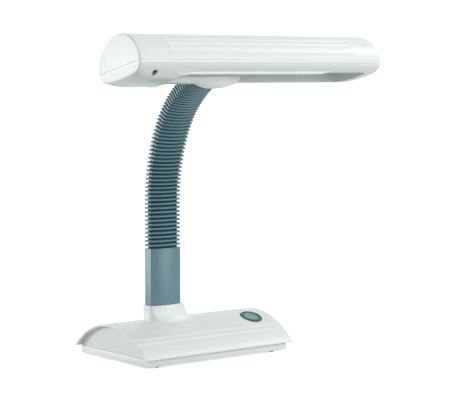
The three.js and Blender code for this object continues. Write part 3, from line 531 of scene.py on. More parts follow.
def shell_profile():
    """Outer and inner outline of the shell."""
    y = shell_places()
    outer = np.column_stack([y, skin_height(y)])
    outer = with_feet(outer, SHELL_HALF_DEPTH - LIP_BEVEL[0], SHELL_HALF_DEPTH, LIP_BEVEL[1])
    inner_y = y * INNER_HALF_DEPTH / LIP_HALF_DEPTH
    inner = np.column_stack([inner_y, arc_height(inner_y, INNER_RADIUS)])
    low = math.sqrt(INNER_RADIUS**2 - (SHELL_BOTTOM - ARC_CENTRE) ** 2)
    return outer, with_feet(inner, low, low - INNER_BEVEL[0], INNER_BEVEL[1])


def row_at(x, outline):
    return points_of(x, *np.transpose(outline))


def button_room(points):
    """Points of the button's own frame, square to the shell, in the base's frame."""
    tilt = math.asin(-BUTTON_Y / ARC_RADIUS)
    c, s = math.cos(tilt), math.sin(tilt)
    height = ARC_CENTRE + ARC_RADIUS * c
    x, y, z = np.transpose(points)
    return points_of(x + BUTTON_X, y * c - z * s + BUTTON_Y, y * s + z * c + height)


def hole_ring(angles, radius, level):
    return button_room(points_of(radius * np.cos(angles), radius * np.sin(angles), level))


def button_hole(shape, xs, ys):
    """Skin between a square of the grid and the stepped round hole for the bezel."""
    square = [(x, ys[0]) for x in xs[:-1]] + [(xs[-1], y) for y in ys[:-1]]
    square += [(x, ys[-1]) for x in xs[:0:-1]] + [(xs[0], y) for y in ys[:0:-1]]
    square = np.array(square)
    angles = np.arctan2(square[:, 1] - BUTTON_Y, square[:, 0] - BUTTON_X)
    seat = BEZEL_RADIUS + FIT
    sleeve = BEZEL_SLEEVE + FIT
    circle = hole_ring(angles, seat, 0)[:, :2]
    rows = []
    for t in (0, 0.35, 0.7, 0.92, 1):
        flat = square + (circle - square) * t
        rows.append(np.column_stack([flat, skin_height(flat[:, 1])]))
    for radius, level in ((seat, BEZEL_SEAT), (sleeve, BEZEL_SEAT), (sleeve, -SHELL_WALL)):
        rows.append(hole_ring(angles, radius, level))
    for flat in (rows[-1][:, :2], square):
        rows.append(np.column_stack([flat, arc_height(flat[:, 1], INNER_RADIUS)]))
    shape.strip(rows, closed=True)


def shell_grid():
    """Places along the shell, finer across the neck and the button, with the edges of the bush."""
    end = SHELL_HALF_LENGTH - LIP_ROUND_OUT
    xs = [*np.linspace(-end, NECK_GAP_X[0], 9), *np.linspace(*NECK_GAP_X, 8)[1:]]
    xs += [*np.linspace(NECK_GAP_X[1], HOLE_X[0], 12)[1:], *np.linspace(*HOLE_X, 19)[1:]]
    xs += [*np.linspace(HOLE_X[1], end, 4)[1:], -BUSH_HALF_WIDTH, BUSH_HALF_WIDTH]
    return np.sort(xs)


def is_open(x, y, top):
    """Whether the skin leaves a place to the button, the neck or the bush of the mains lead."""
    at_button = within(x, HOLE_X) and within(y, HOLE_Y)
    at_neck = within(x, NECK_GAP_X) and within(y, NECK_GAP_Y)
    at_bush = abs(x) < BUSH_HALF_WIDTH and y > 0 and top < SHELL_BOTTOM + BUSH_HEIGHT
    return at_button or at_neck or at_bush


def shell_skin(shape, outline, xs):
    """Strips over the grid, with the openings left out."""
    for x0, x1 in zip(xs, xs[1:]):
        runs = [[]]
        for point, following in zip(outline, outline[1:]):
            if is_open((x0 + x1) / 2, (point[0] + following[0]) / 2, point[1]):
                runs.append([])
            else:
                runs[-1] = (runs[-1] or [point]) + [following]
        for run in filter(None, runs):
            shape.strip([row_at(x0, run), row_at(x1, run)])


def shell_end(shape, outer, inner, side):
    """Rounded lip at one end of the shell, the wall behind it and the panel that closes it."""
    inward = inner - outer
    inward /= np.linalg.norm(inward, axis=1, keepdims=True)
    rows = []
    for angle in np.linspace(0, math.pi / 2, 5):
        x = SHELL_HALF_LENGTH - LIP_ROUND_OUT * (1 - math.sin(angle))
        rows.append(row_at(side * x, outer + inward * LIP_ROUND_OUT * (1 - math.cos(angle))))
    for angle in np.linspace(0, math.pi / 2, 4):
        x = SHELL_HALF_LENGTH - LIP_ROUND_IN * (1 - math.cos(angle))
        rows.append(row_at(side * x, inner - inward * LIP_ROUND_IN * (1 - math.sin(angle))))
    panel_top = row_at(side * PANEL_X, inner)
    shape.strip([*rows, panel_top])
    shape.strip([panel_top, points_of(side * PANEL_X, inner[:, 0], SHELL_BOTTOM)])


def span_of(values, span):
    """The values from one end of a span to the other."""
    low, high = span
    return [v for v in values if low - TINY < v < high + TINY]


def make_base_shell():
    shape = Shape()
    outer, inner = shell_profile()
    xs = shell_grid()
    shell_skin(shape, outer, xs)
    button_hole(shape, span_of(xs, HOLE_X), span_of(outer[:, 0], HOLE_Y))
    for side in (-1, 1):
        shell_end(shape, outer, inner, side)
    add_piece("base_cover", shape, 24, "base", white, "white_plastic", ["base_shell"])


# Collar that carries the neck
def neck_outline(half_width, half_depth, corner, front=24):
    """Rectangle with round corners and a front that bulges, counterclockwise from the left front."""
    w, d, c = half_width, half_depth, corner
    across = np.linspace(-w + c, w - c, front + 1)
    points = [(x, -d - FRONT_BULGE * (1 - (x / w) ** 2)) for x in across]

    def turn(cx, cy, start):
        return [
            (cx + c * math.cos(start + a), cy + c * math.sin(start + a))
            for a in np.linspace(0, math.pi / 2, 5)[1:]
        ]

    first_y = points[0][1] + c
    points += turn(w - c, first_y, -math.pi / 2)
    points += [(w, y) for y in np.linspace(first_y, d - c, 6)[1:]]
    points += turn(w - c, d - c, 0)
    points += [(x, d) for x in np.linspace(w - c, -w + c, 12)[1:]]
    points += turn(-w + c, d - c, math.pi / 2)
    points += [(-w, y) for y in np.linspace(d - c, first_y, 6)[1:]]
    points += turn(-w + c, first_y, math.pi)
    return np.array(points[:-1])


def neck_section(side, deep, front=24):
    """Outline of the neck, smaller by one distance at its sides and by another in front and behind."""
    return neck_outline(NECK_HALF_WIDTH - side, NECK_HALF_DEPTH - deep, NECK_CORNER, front)


def level_ring(outline, level, shift=0.0):
    """Outline round the neck's foot, at one level."""
    return points_of(outline[:, 0] + NECK_X + shift, outline[:, 1] + NECK_Y, level)


def collar_flank():
    """Rings of the collar's flared side, which runs out into the shell."""
    left, right, depth = (curve_through(COLLAR_SHARES, c) for c in (COLLAR_LEFT, COLLAR_RIGHT, COLLAR_DEPTH))
    rows = []
    for share in [*np.linspace(COLLAR_SHARES[0], 0.4, 26), *np.linspace(0.44, 1, 12)[:-1]]:
        grown_left = COLLAR_MARGIN + COLLAR_HEIGHT * left(share)
        grown_right = COLLAR_MARGIN + COLLAR_HEIGHT * right(share)
        grown_depth = COLLAR_HEIGHT * depth(share)
        half_width = NECK_HALF_WIDTH + (grown_left + grown_right) / 2
        half_depth = NECK_HALF_DEPTH + COLLAR_MARGIN + grown_depth
        corner = min(COLLAR_CORNER + 2 * grown_depth, half_depth - 1)
        level = CREST + COLLAR_HEIGHT * share
        ring = level_ring(neck_outline(half_width, half_depth, corner), level, (grown_right - grown_left) / 2)
        ground = arc_height(ring[:, 1])
        ring[:, 2] = ground + soft_positive(level - ground, COLLAR_BLEND) - COLLAR_SINK
        rows.append(ring)
    return rows


def collar_mouth():
    """Rings of the collar's rim and of the opening that the sleeve stands in."""
    rows = []
    for inset, level in ((0.0, COLLAR_TOP - 0.5), (0.15, COLLAR_TOP - 0.15), (0.5, COLLAR_TOP)):
        half_width = NECK_HALF_WIDTH + COLLAR_MARGIN + RIM_SHIFT - inset
        half_depth = NECK_HALF_DEPTH + COLLAR_MARGIN - inset
        rows.append(level_ring(neck_outline(half_width, half_depth, COLLAR_CORNER), level, RIM_SHIFT))
    for margin, level in ((FIT + 0.25, COLLAR_TOP), (FIT, COLLAR_TOP - 0.3), (FIT, COLLAR_BOTTOM)):
        rows.append(level_ring(neck_section(-margin, -margin), level))
    return rows


def make_collar():
    shape = Shape().strip(collar_flank() + collar_mouth(), closed=True)
    add_piece("neck_collar", shape, 40, "base", white, "white_plastic")


# Switch
def turned(profile, change, sides=72):
    """Solid of revolution over a profile of radius and height, moved by a function."""
    angles = full_turn(sides)
    rows = [points_of(radius * np.cos(angles), radius * np.sin(angles), height) for radius, height in profile]
    return Shape().strip(rows, closed=True).moved(change)


def make_switch():
    opening, edge, rim = BUTTON_RADIUS + FIT, BEZEL_RADIUS, BUTTON_RADIUS
    bezel = [
        (opening, BEZEL_END), (BEZEL_SLEEVE, BEZEL_END), (BEZEL_SLEEVE, BEZEL_BACK), (edge, BEZEL_BACK),
        (edge, 0.2), (edge - 0.15, 0.55), (edge - 0.5, 0.85), (edge - 1.0, 1.0), (opening + 1.1, 1.0),
        (opening + 0.5, 0.85), (opening + 0.15, 0.5), (opening, 0.1), (opening, BEZEL_END),
    ]
    ring = turned(bezel, button_room)
    add_piece("switch_ring", ring, 40, "base", teal_dark, "teal_plastic", ["switch_bezel"])
    dish = [
        (r, DISH_EDGE - DISH_DEPTH * (1 - (r / DISH_RADIUS) ** 2) ** 1.5)
        for r in np.linspace(DISH_RADIUS, ON_AXIS, 12)
    ]
    button = [
        (ON_AXIS, BUTTON_END), (rim, BUTTON_END), (rim, 0.2), (rim - 0.12, 0.45), (rim - 0.4, 0.7),
        (rim - 0.8, 0.72), (rim - 1.15, 0.45), *dish,
    ]
    cap = turned(button, button_room)
    add_piece("switch_cap", cap, 40, "button", teal, "teal_plastic", ["switch_button"])


# Neck
def neck_place(s):
    """Place and slope of the neck's middle, at a length along the hose."""
    first = np.clip(s - BEND_START, 0, TIGHT_START - BEND_START) / BEND_RADIUS
    angle = first + max(0.0, s - TIGHT_START) / TIGHT_RADIUS
    forward = BEND_RADIUS * (1 - math.cos(first)) + TIGHT_RADIUS * (math.cos(first) - math.cos(angle))
    rise = BEND_RADIUS * math.sin(first) + TIGHT_RADIUS * (math.sin(angle) - math.sin(first))
    return NECK_Y - forward, FLEX_START + min(s, BEND_START) + rise, angle


def neck_ring(s, outline):
    y, z, angle = neck_place(s)
    across, deep = outline.T
    return points_of(across + NECK_X, y + deep * math.cos(angle), z + deep * math.sin(angle))


def make_sleeve():
    rows = []
    for inset, level in (
        (0, SLEEVE_BOTTOM), (0, SLEEVE_TOP - 0.5), (0.12, SLEEVE_TOP - 0.15), (0.45, SLEEVE_TOP),
        (SLEEVE_WALL, SLEEVE_TOP), (SLEEVE_WALL, SLEEVE_TOP - SLEEVE_BORE),
    ):
        rows.append(level_ring(neck_section(inset, inset), level))
    shape = Shape().strip(rows, closed=True)
    add_piece("neck_tube", shape, 30, "base", blue, "blue_plastic", ["neck_sleeve"])


def rib_lines():
    """Count of ribs along the hose, and the places that it belongs to."""
    places = np.linspace(FIRST_GROOVE, SECTIONS * SECTION, 2000)
    pitch = np.interp(places, [PITCH_FALL, SECTIONS * SECTION], [RIB_PITCH, TOP_PITCH])
    count = np.concatenate([[0], np.cumsum(np.diff(places) / pitch[1:])])
    return count, places


RIB_COUNT, RIB_PLACE = rib_lines()


def groove_share(s):
    """One in the middle of a groove and zero on a rib."""
    if s <= FIRST_GROOVE:
        return 1.0
    count = np.interp(s, RIB_PLACE, RIB_COUNT)
    from_groove = abs(count - round(count))
    return np.interp(from_groove, *np.array(GROOVE_SHARES).T)


def hose_stations(start, end):
    """Places along the hose where its outline changes."""
    ribs = range(math.ceil(RIB_COUNT[-1]) + 1)
    turns = sorted({round(n + side * u, 4) for n in ribs for u, _ in GROOVE_SHARES for side in (-1, 1)})
    inside = [c for c in turns if 0 <= c <= RIB_COUNT[-1]]
    places = np.interp(inside, RIB_COUNT, RIB_PLACE)
    return [start] + [s for s in places if start + STATION_GAP < s < end - STATION_GAP] + [end]


def hose_ring(s, share):
    """Outline of the hose at a place, with a share of the groove's depth."""
    return neck_ring(s, neck_section(GROOVE_SIDE * share, GROOVE_FRONT * share, front=18))


def hose_piece(name, start, end, closed_start=False, closed_end=False):
    """Ribbed skin from one place to another, and which of its bands are the bottom of a groove."""
    stations = hose_stations(start, end)
    shares = [groove_share(s) for s in stations]
    rows = [hose_ring(s, share) for s, share in zip(stations, shares)]
    core = neck_section(CORE_SIDE, CORE_FRONT, front=18)
    if closed_start:
        rows.insert(0, neck_ring(start, core))
        shares.insert(0, 1)
    if closed_end:
        rows.append(neck_ring(end, core))
        shares.append(1)
    hose = shade(mesh_object(name, Shape().strip(rows, closed=True)), 35)
    return hose, np.minimum(shares[1:], shares[:-1]) > GROOVE_SHADE_SHARE


def paint_groove_shade(hose, deep):
    """Painted shade: a second, darker material on the faces at the bottom of the grooves."""
    hose.data.materials.append(blue_painted_shade)
    around = len(hose.data.polygons) // len(deep)
    for face in hose.data.polygons:
        face.material_index = int(deep[min(face.index // around, len(deep) - 1)])


def make_hose():
    half = SECTION / 2
    for k in range(SECTIONS):
        joint = k * SECTION
        start, end = max(0, joint - half), joint + half
        hose, deep = hose_piece(f"hose_{k + 1}", start, end, closed_start=k == 0)
        finish_piece(hose, None, blue, "blue_plastic", [f"neck_section_{k + 1}"])
        paint_groove_shade(hose, deep)
        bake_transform(hose)
    last = SECTIONS * SECTION
    tip, deep = hose_piece("hose_tip", last - half, last, closed_end=True)
    finish_piece(tip, "head", blue, "blue_plastic")
    paint_groove_shade(tip, deep)


# Upper half of the head
def head_room(points):
    """Points of the head's own frame, in the base's frame."""
    c, s = math.cos(HEAD_TILT), math.sin(HEAD_TILT)
    x, y, z = np.transpose(points)
    return points_of(x, HEAD_Y + y * c + z * s, HEAD_Z - y * s + z * c)


def head_solid(name, rings):
    """Closed solid over rings given in the head's frame."""
    return mesh_object(name, Shape().loft(rings).moved(head_room))


def lean(points):
    """Points of the head with its ends narrowed towards the top."""
    x, y, z = np.transpose(points)
    middle = (HEAD_LEFT + HEAD_RIGHT) / 2
    half = (HEAD_RIGHT - HEAD_LEFT) / 2
    return points_of(x - (x - middle) / half * END_LEAN * np.maximum(0, z), y, z)


def reed_height(x, arc_offset):
    """Height of the nearest reed over the cover."""
    beyond = max(0.0, REED_LEFT + REED_RADIUS - x, x - REED_RIGHT + REED_RADIUS)
    distance = np.hypot(arc_offset, beyond)
    cap = np.sqrt(np.maximum(0, REED_RADIUS**2 - distance**2)) - (REED_RADIUS - REED_HEIGHT)
    fade = 1 - smooth_step((distance - REED_REACH + REED_FADE) / REED_FADE)
    return np.where(distance < REED_REACH, soft_positive(cap, REED_BLEND) * fade, 0)


def top_angles():
    """Angles over the top from the front edge to the back edge, finer across the reeds."""
    low = math.asin(RIM_LEVEL / HEAD_TOP)
    reeds = [math.pi / 2 - REED_ANGLES[-1] - 0.1, math.pi / 2 - REED_ANGLES[0] + 0.1]
    return np.concatenate([
        np.linspace(low, reeds[0], 8)[:-1],
        np.linspace(reeds[0], reeds[1], 96)[:-1],
        np.linspace(reeds[1], math.pi - low, 64),
    ])


def arc_speed(angle):
    return np.hypot(HEAD_HALF_WIDTH * np.sin(angle), HEAD_TOP * np.cos(angle))


def cover_row(x, inset, angles, reeds=True):
    half, top = HEAD_HALF_WIDTH - inset, HEAD_TOP - inset
    y, z = -half * np.cos(angles), top * np.sin(angles)
    if reeds:
        normal = np.column_stack([-np.cos(angles) / half, np.sin(angles) / top])
        normal /= np.linalg.norm(normal, axis=1, keepdims=True)
        height = np.zeros(len(angles))
        for reed in REED_ANGLES:
            centre = math.pi / 2 - reed
            height += reed_height(x, (angles - centre) * arc_speed(centre))
        y, z = y + normal[:, 0] * height, z + normal[:, 1] * height
    z[0] = z[-1] = RIM_LEVEL
    return points_of(x, y, z)


def end_stations(inset):
    """Places and insets of the rounding at the left end, from the flat end inwards."""
    return [
        (HEAD_LEFT + inset + END_ROUND * (1 - math.sin(a)), END_ROUND * (1 - math.cos(a)))
        for a in np.linspace(math.pi / 2, 0, 6)
    ]


def mirrored(x):
    return HEAD_LEFT + HEAD_RIGHT - x


def head_stations():
    """Places and insets along the cover, finer at both ends of the reeds."""
    left = end_stations(0)
    start = HEAD_LEFT + END_ROUND
    reed_start, reed_end = (REED_LEFT - 1, REED_LEFT + REED_END), (REED_RIGHT - REED_END, REED_RIGHT + 1)
    places = [*np.linspace(start, reed_start[0], 7)[1:-1], *np.linspace(*reed_start, 12)]
    places += [*np.linspace(reed_start[1], reed_end[0], 50)[1:-1], *np.linspace(*reed_end, 12)]
    places += [*np.linspace(reed_end[1], mirrored(start), 7)[1:-1]]
    right = [(mirrored(x), inset) for x, inset in reversed(left)]
    return left + [(x, 0.0) for x in places] + right


def cover_rims(shape, outer, inner):
    """Flat lower edge between the outer and the inner skin, along both sides and at both ends."""
    inner_right, inner_left = inner[0][0][0], inner[1][0][0]
    for k in (0, -1):
        rim_out = [row[k] for row in outer]
        rim_in = [(np.clip(p[0], inner_left, inner_right), inner[0][k][1], RIM_LEVEL) for p in rim_out]
        shape.strip([rim_out, rim_in])
    for edge, inside, row in ((HEAD_LEFT, inner_left, outer[0]), (HEAD_RIGHT, inner_right, outer[-1])):
        shape.strip([
            [(edge, row[0][1], RIM_LEVEL), (edge, row[-1][1], RIM_LEVEL)],
            [(inside, inner[0][0][1], RIM_LEVEL), (inside, inner[0][-1][1], RIM_LEVEL)],
        ])


def make_cover():
    angles = top_angles()
    outer = [cover_row(x, inset, angles) for x, inset in head_stations()]
    inner_ends = (HEAD_RIGHT - HEAD_WALL, HEAD_LEFT + HEAD_WALL)
    inner = [cover_row(x, HEAD_WALL, angles, reeds=False) for x in inner_ends]
    shape = Shape()
    shape.strip(outer)
    shape.cap(outer[0], flip=True)
    shape.cap(outer[-1])
    shape.strip(inner)
    shape.cap(inner[0])
    shape.cap(inner[1], flip=True)
    cover_rims(shape, outer, inner)
    shape.moved(lean).moved(head_room)
    add_piece("head_top", shape, 30, "head", white, "white_plastic", ["head_cover"])


# Lower half of the head
def lower_outline():
    """Shares across and down of the lower half, from the front over the bottom to the back."""
    across = [1, 0.99, 0.955, 0.888, 0.775, 0.38, 0]
    down = [0, 0.22, 0.44, 0.64, 0.82, 0.96, 1]
    bend = np.array([math.atan2(d, a) for a, d in zip(across, down)])
    reach = curve_through(bend, [math.hypot(a, d) for a, d in zip(across, down)])
    angles = np.linspace(0, math.pi, 73)
    length = reach(np.minimum(angles, math.pi - angles))
    return np.column_stack([-length * np.cos(angles), -length * np.sin(angles)])


LOWER_SHARES = lower_outline()
BELOW_BAND = np.flatnonzero(-LOWER_SHARES[:, 1] * LEAST_BOTTOM > BAND_FOOT)
PAD_RISE = curve_through(
    [-144, -141, -138, -132, -127, -122, -90, -79, -72, -66, -62],
    [0, 0.35, 0.6, 0.85, 0.95, 1, 1, 1, 0.6, 0.18, 0],
)
VISOR_SHARE = curve_through(*np.array(VISOR_FADE).T)
BRIDGE_HULL = curve_through([-90, -79, -66, -16, 4, 15], [17.4, 17.8, 18.1, 18.1, 15.2, 11.4])
BRIDGE_PLATE = curve_through([-90, -79, -76, -65, -62, 15], [16.4, 16.2, 15.2, 12.2, 11.7, 11.4])
BRIDGE_REACH = curve_through([-90, -55, -30, -18, 0, 10, 15], [3, 3.5, 6, 6.5, 5, 2, 1])


def lower_row(x, inset, banded):
    """Section of the lower half, with the pad of the lamp chamber and the proud band in front."""
    half, depth = HEAD_HALF_WIDTH - inset, HEAD_BOTTOM - inset
    levels = np.array(BAND_LEVELS)
    middle = len(LOWER_SHARES) // 2
    down = -LOWER_SHARES[:, 1] * depth
    front = np.interp(levels, down[:middle], -LOWER_SHARES[:middle, 0] * half)
    edge = np.column_stack([-front, -levels])
    body = np.column_stack([LOWER_SHARES[:, 0] * half, -down])
    y, z = np.vstack([edge, body[BELOW_BAND], edge[::-1] * [-1, 1]]).T
    pad = PAD_RISE(x) * PAD_DEPTH
    z = z - pad * smooth_step((1 - np.abs(y) / PAD_HALF_WIDTH) / PAD_FLANK) * np.clip(-z / PAD_FADE, 0, 1)
    if banded:
        proud = BAND_PROUD * (1 - smooth_step((-z - BAND_HEIGHT + BAND_SOFT) / BAND_FALL))
        y = y - np.where(y < 0, proud, 0)
    return points_of(x, y, z)


def lower_body(name, inset, top):
    """Closed lower half, with a flat top at a level."""
    edges = end_stations(inset)
    left, right = HEAD_LEFT + inset + END_ROUND, HEAD_RIGHT - inset - END_ROUND
    xs = [*np.linspace(left, HEAD_FINE[0], 30)[1:], *np.linspace(*HEAD_FINE, 31)[1:]]
    xs += [*np.linspace(HEAD_FINE[1], right, 16)[1:-1]]
    rings = []
    for x, more in edges + [(x, 0) for x in xs] + [(mirrored(x), i) for x, i in reversed(edges)]:
        row = lower_row(x, inset + more, inset == 0)
        row[0, 2] = row[-1, 2] = top
        rings.append(row)
    return head_solid(name, rings)


def window_block(name, margin, z0, z1):
    """Window with rounded corners, grown by a margin, between two levels."""
    x0, x1 = WINDOW_LEFT - margin, WINDOW_RIGHT + margin
    half = WINDOW_HALF + margin
    corner = WINDOW_CORNER + margin * 0.5
    ring = []
    for cx, cy, start in (
        (x1 - corner, -half + corner, -90), (x1 - corner, half - corner, 0),
        (x0 + corner, half - corner, 90), (x0 + corner, -half + corner, 180),
    ):
        for a in np.radians(np.linspace(start, start + 90, 9)):
            ring.append((cx + corner * math.cos(a), cy + corner * math.sin(a)))
    return head_solid(name, [points_of(*np.transpose(ring), z) for z in (z0, z1)])


def block(name, xs, ys, zs):
    """Block between two places on each axis."""
    (x0, x1), (y0, y1) = xs, ys
    return head_solid(name, [points_of([x0, x1, x1, x0], [y0, y0, y1, y1], z) for z in zs])


def visor_block():
    """Lip along the window's front edge that fades out towards the right."""
    front, back, soft = -WINDOW_HALF - FRAME_WALL, -WINDOW_HALF, VISOR_SOFT
    rings = []
    for x in [WINDOW_LEFT - FRAME_WALL, -60, 0, 60, *np.linspace(100, VISOR_FADE[-1][0], 15)]:
        share = VISOR_SHARE(x) if x > VISOR_FADE[0][0] else 1
        depth = FRAME_DEPTH + (VISOR_DEPTH - FRAME_DEPTH) * share
        rings.append(np.array([
            (x, front, -FRAME_TOP), (x, front, -depth + soft), (x, front + soft * 0.3, -depth + soft * 0.3),
            (x, front + soft, -depth), (x, back - soft, -depth), (x, back, -depth + soft),
            (x, back, -FRAME_TOP),
        ]))
    return head_solid("visor", rings)


def bridge_depth(x):
    """Depth of the bridge, with the boss over the neck's end as a bulge in it."""
    hull = BRIDGE_HULL(x)
    across = 1 - ((x - BOSS_X) / (BOSS_LEFT if x < BOSS_X else BOSS_RIGHT)) ** 2
    if across <= 0:
        return hull
    boss = BOSS_FOOT + BOSS_RISE * math.sqrt(across)
    return hull + soft_positive(boss - hull, BOSS_BLEND)


def bridge_ring(x):
    """Section of the bridge: a rounded hull in front that hides the neck's end, and a plate behind it."""
    low = bridge_depth(x)
    high = min(BRIDGE_PLATE(x), low)
    fall, reach = low + BRIDGE_LEVEL, BRIDGE_REACH(x)
    front = [
        (BRIDGE_FRONT - reach * math.cos(a), BRIDGE_LEVEL - fall * math.sin(a))
        for a in np.linspace(0, math.pi / 2, 14)
    ]
    behind = [(3, -low), (8, -high - (low - high) * 0.6), (16, -high)]
    behind += [(BRIDGE_BACK, -high), (BRIDGE_BACK, BRIDGE_LEVEL)]
    return row_at(x, front + behind)


def bridge_block():
    places = [WINDOW_LEFT - 1.1, *np.linspace(-86, -56, 16), *np.linspace(-53, 14, 46), 15]
    return head_solid("bridge", [bridge_ring(x) for x in places])


def ellipsoid(name, centre, radii):
    angles = full_turn(64)
    rows = []
    for lat in np.linspace(-math.pi / 2, math.pi / 2, 33):
        r = max(math.cos(lat), ON_AXIS)
        x, y = centre[0] + radii[0] * r * np.cos(angles), centre[1] + radii[1] * r * np.sin(angles)
        rows.append(points_of(x, y, centre[2] + radii[2] * math.sin(lat)))
    return head_solid(name, rows)


def neck_room():
    """Space that the neck takes in the bridge."""
    outline = neck_section(-NECK_ROOM, -NECK_ROOM)
    last = SECTIONS * SECTION
    rows = [neck_ring(s, outline) for s in np.linspace(last - SECTION, last + FIT, 9)]
    return mesh_object("neck_room", Shape().loft(rows))


def cylinder_along_y(name, radius, x, z, ys):
    angles = full_turn(40)
    rows = [points_of(x + radius * np.cos(angles), y, z + radius * np.sin(angles)) for y in ys]
    return head_solid(name, rows)


def make_housing():
    housing = lower_body("head_bottom", 0, -RIM_LEVEL)
    combine(housing, lower_body("cavity", HEAD_WALL, CAVITY_TOP), "DIFFERENCE")
    combine(housing, window_block("rim", FRAME_WALL, -FRAME_DEPTH, -FRAME_TOP), "UNION")
    combine(housing, visor_block(), "UNION")
    combine(housing, window_block("opening", 0, -30, CAVITY_TOP), "DIFFERENCE")
    combine(housing, bridge_block(), "UNION")
    combine(housing, block("clamp", CLAMP_X, CLAMP_Y, CLAMP_Z), "UNION")
    combine(housing, neck_room(), "DIFFERENCE")
    combine(housing, cylinder_along_y("lug", LUG_RADIUS, SOCKET_X, SOCKET_Z + 1, LUG_Y), "UNION")
    combine(housing, ellipsoid("dimple", DIMPLE_PLACE, DIMPLE_RADII), "DIFFERENCE")
    combine(housing, ellipsoid("bore", BORE_PLACE, BORE_RADII), "DIFFERENCE")
    shade(housing, 28)
    finish_piece(housing, "head", white, "white_plastic", ["head_housing"])


# Lamp and reflector
def tube_rings(side):
    """Rings of one glass tube with a rounded right end."""
    angles = full_turn(40)
    stations = [(WINDOW_LEFT + FIT, TUBE_RADIUS), (TUBE_CURVE, TUBE_RADIUS)]
    stations += [
        (TUBE_RIGHT - TUBE_RADIUS * (1 - math.sin(a)), max(TUBE_RADIUS * math.cos(a), 0.02))
        for a in np.linspace(0, math.pi / 2, 10)
    ]
    middle = side * TUBE_SPACING / 2
    return [points_of(x, middle + r * np.cos(angles), TUBE_LEVEL + r * np.sin(angles)) for x, r in stations]


def make_tubes():
    shape = Shape()
    for side in (-1, 1):
        shape.loft(tube_rings(side))
    lamp = mesh_object("twin_tube", shape.moved(head_room))
    x, half = TUBE_RIGHT - 2 * TUBE_RADIUS, TUBE_SPACING / 2
    combine(lamp, cylinder_along_y("joint", TUBE_RADIUS / 2, x, TUBE_LEVEL, (-half, half)), "UNION")
    shade(lamp, 40)
    finish_piece(lamp, "head", glass, "lamp_glass", ["lamp_tube"])


def trough_row(x, inset, bottom):
    """Section of the reflector: an arch on two straight sides."""
    half, rise = WINDOW_HALF - FIT - inset, TROUGH_RISE - inset
    arch = [(-half * math.cos(a), TROUGH_SPRING + rise * math.sin(a)) for a in np.linspace(0, math.pi, 41)]
    return row_at(x, [(-half, bottom), *arch, (half, bottom)])


def trough(name, places, inset, bottom):
    """Solid under the arch between two places, with the window's rounded corners."""
    body = head_solid(name, [trough_row(x, inset, bottom) for x in places])
    combine(body, window_block("corners", -FIT - inset, bottom - 1, 30), "INTERSECT")
    return body


def make_reflector():
    reflector = trough("reflector_trough", (TROUGH_LEFT, TROUGH_RIGHT), 0, TROUGH_BOTTOM)
    hollow_ends = (TROUGH_LEFT - 1, TROUGH_RIGHT - TROUGH_WALL)
    combine(reflector, trough("hollow", hollow_ends, TROUGH_WALL, TROUGH_BOTTOM - 2), "DIFFERENCE")
    ends = (WINDOW_LEFT + FLANGE_INSET, WINDOW_RIGHT - FLANGE_INSET)
    flange = block("flange", ends, (-FLANGE_HALF, FLANGE_HALF), FLANGE_Z)
    opening = block("opening", (WINDOW_LEFT, WINDOW_RIGHT), (-FLANGE_OPENING, FLANGE_OPENING), (-9, -5))
    combine(flange, opening, "DIFFERENCE")
    combine(reflector, flange, "UNION")
    shade(reflector, 30)
    # The reflector takes the darker copy of the white plastic, which is painted shade
    finish_piece(reflector, "head", shaded_inner_white, "white_plastic", ["reflector"])


# Parts whose CAD form is right, and the feet
def rounded_copy(node, name, body, material, slot, width, degrees):
    """Copy of a CAD node with its edges rounded, in its place."""
    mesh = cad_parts[node].data.copy()
    work = bmesh.new()
    work.from_mesh(mesh)
    bmesh.ops.remove_doubles(work, verts=work.verts, dist=SHORT_EDGE)
    bmesh.ops.dissolve_limit(work, angle_limit=math.radians(1), verts=work.verts, edges=work.edges)
    work.to_mesh(mesh)
    work.free()
    thing = add_object(name, mesh)
    soften(thing, width, degrees)
    shade(thing, 40)
    finish_piece(thing, body, material, slot, [node])


def make_tray():
    # The tray takes the paler copy of the white plastic, which is painted light
    rounded_copy("base_tray", "tray", "base", tray_white_lit, "white_plastic", 0.5, 60)


def make_feet():
    for k in range(1, 5):
        low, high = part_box(f"foot_{k}")
        centre = (np.array(low) + np.array(high)) / 2
        middle = ((centre - OFFSET) / MM) * [1, 1, 0]
        radius = (high.x - low.x) / 2 / MM
        top = high.z / MM
        profile = [
            (ON_AXIS, 0.25), (radius - 1.2, 0.2), (radius - 0.7, 0), (radius - 0.3, 0.05), (radius, 0.4),
            (radius, top), (ON_AXIS, top),
        ]
        foot = turned(profile, lambda points, middle=middle: points + middle, sides=40)
        add_piece(f"rubber_foot_{k}", foot, 40, "base", rubber, "foot_rubber", [f"foot_{k}"])


def make_small_parts():
    rounded_copy("cord_inlet_bush", "inlet_bush", "base", black, "black_plastic", 0.4, 50)
    rounded_copy("lamp_cap", "cap_of_lamp", "head", cream, "white_plastic", 0.8, 50)
    rounded_copy("lamp_holder", "socket", "head", black, "black_plastic", 0.5, 50)
    rounded_copy("lamp_clip", "tube_clip", "head", white, "white_plastic", 0.3, 50)


def dress_nodes():
    """Materials for the CAD nodes inside, which a section or an exploded view shows."""
    looks = {
        steel: ["neck_post", *numbered("bracket_screw", 2), *numbered("clamp_screw", 2)]
        + numbered("gooseneck_core", SECTIONS),
        dark_steel: ["neck_bracket", "head_screw", "socket_screw", "choke_core", *numbered("tray_screw", 4)],
        iron: ["ballast_weight_left", "ballast_weight_right"],
        black: ["switch_body", "sleeve_guide"],
        copper: ["choke_coil"],
        cream: ["terminal_block"],
    }
    for material, names in looks.items():
        for name in names:
            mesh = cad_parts[name].data
            mesh.materials.clear()
            mesh.materials.append(material)


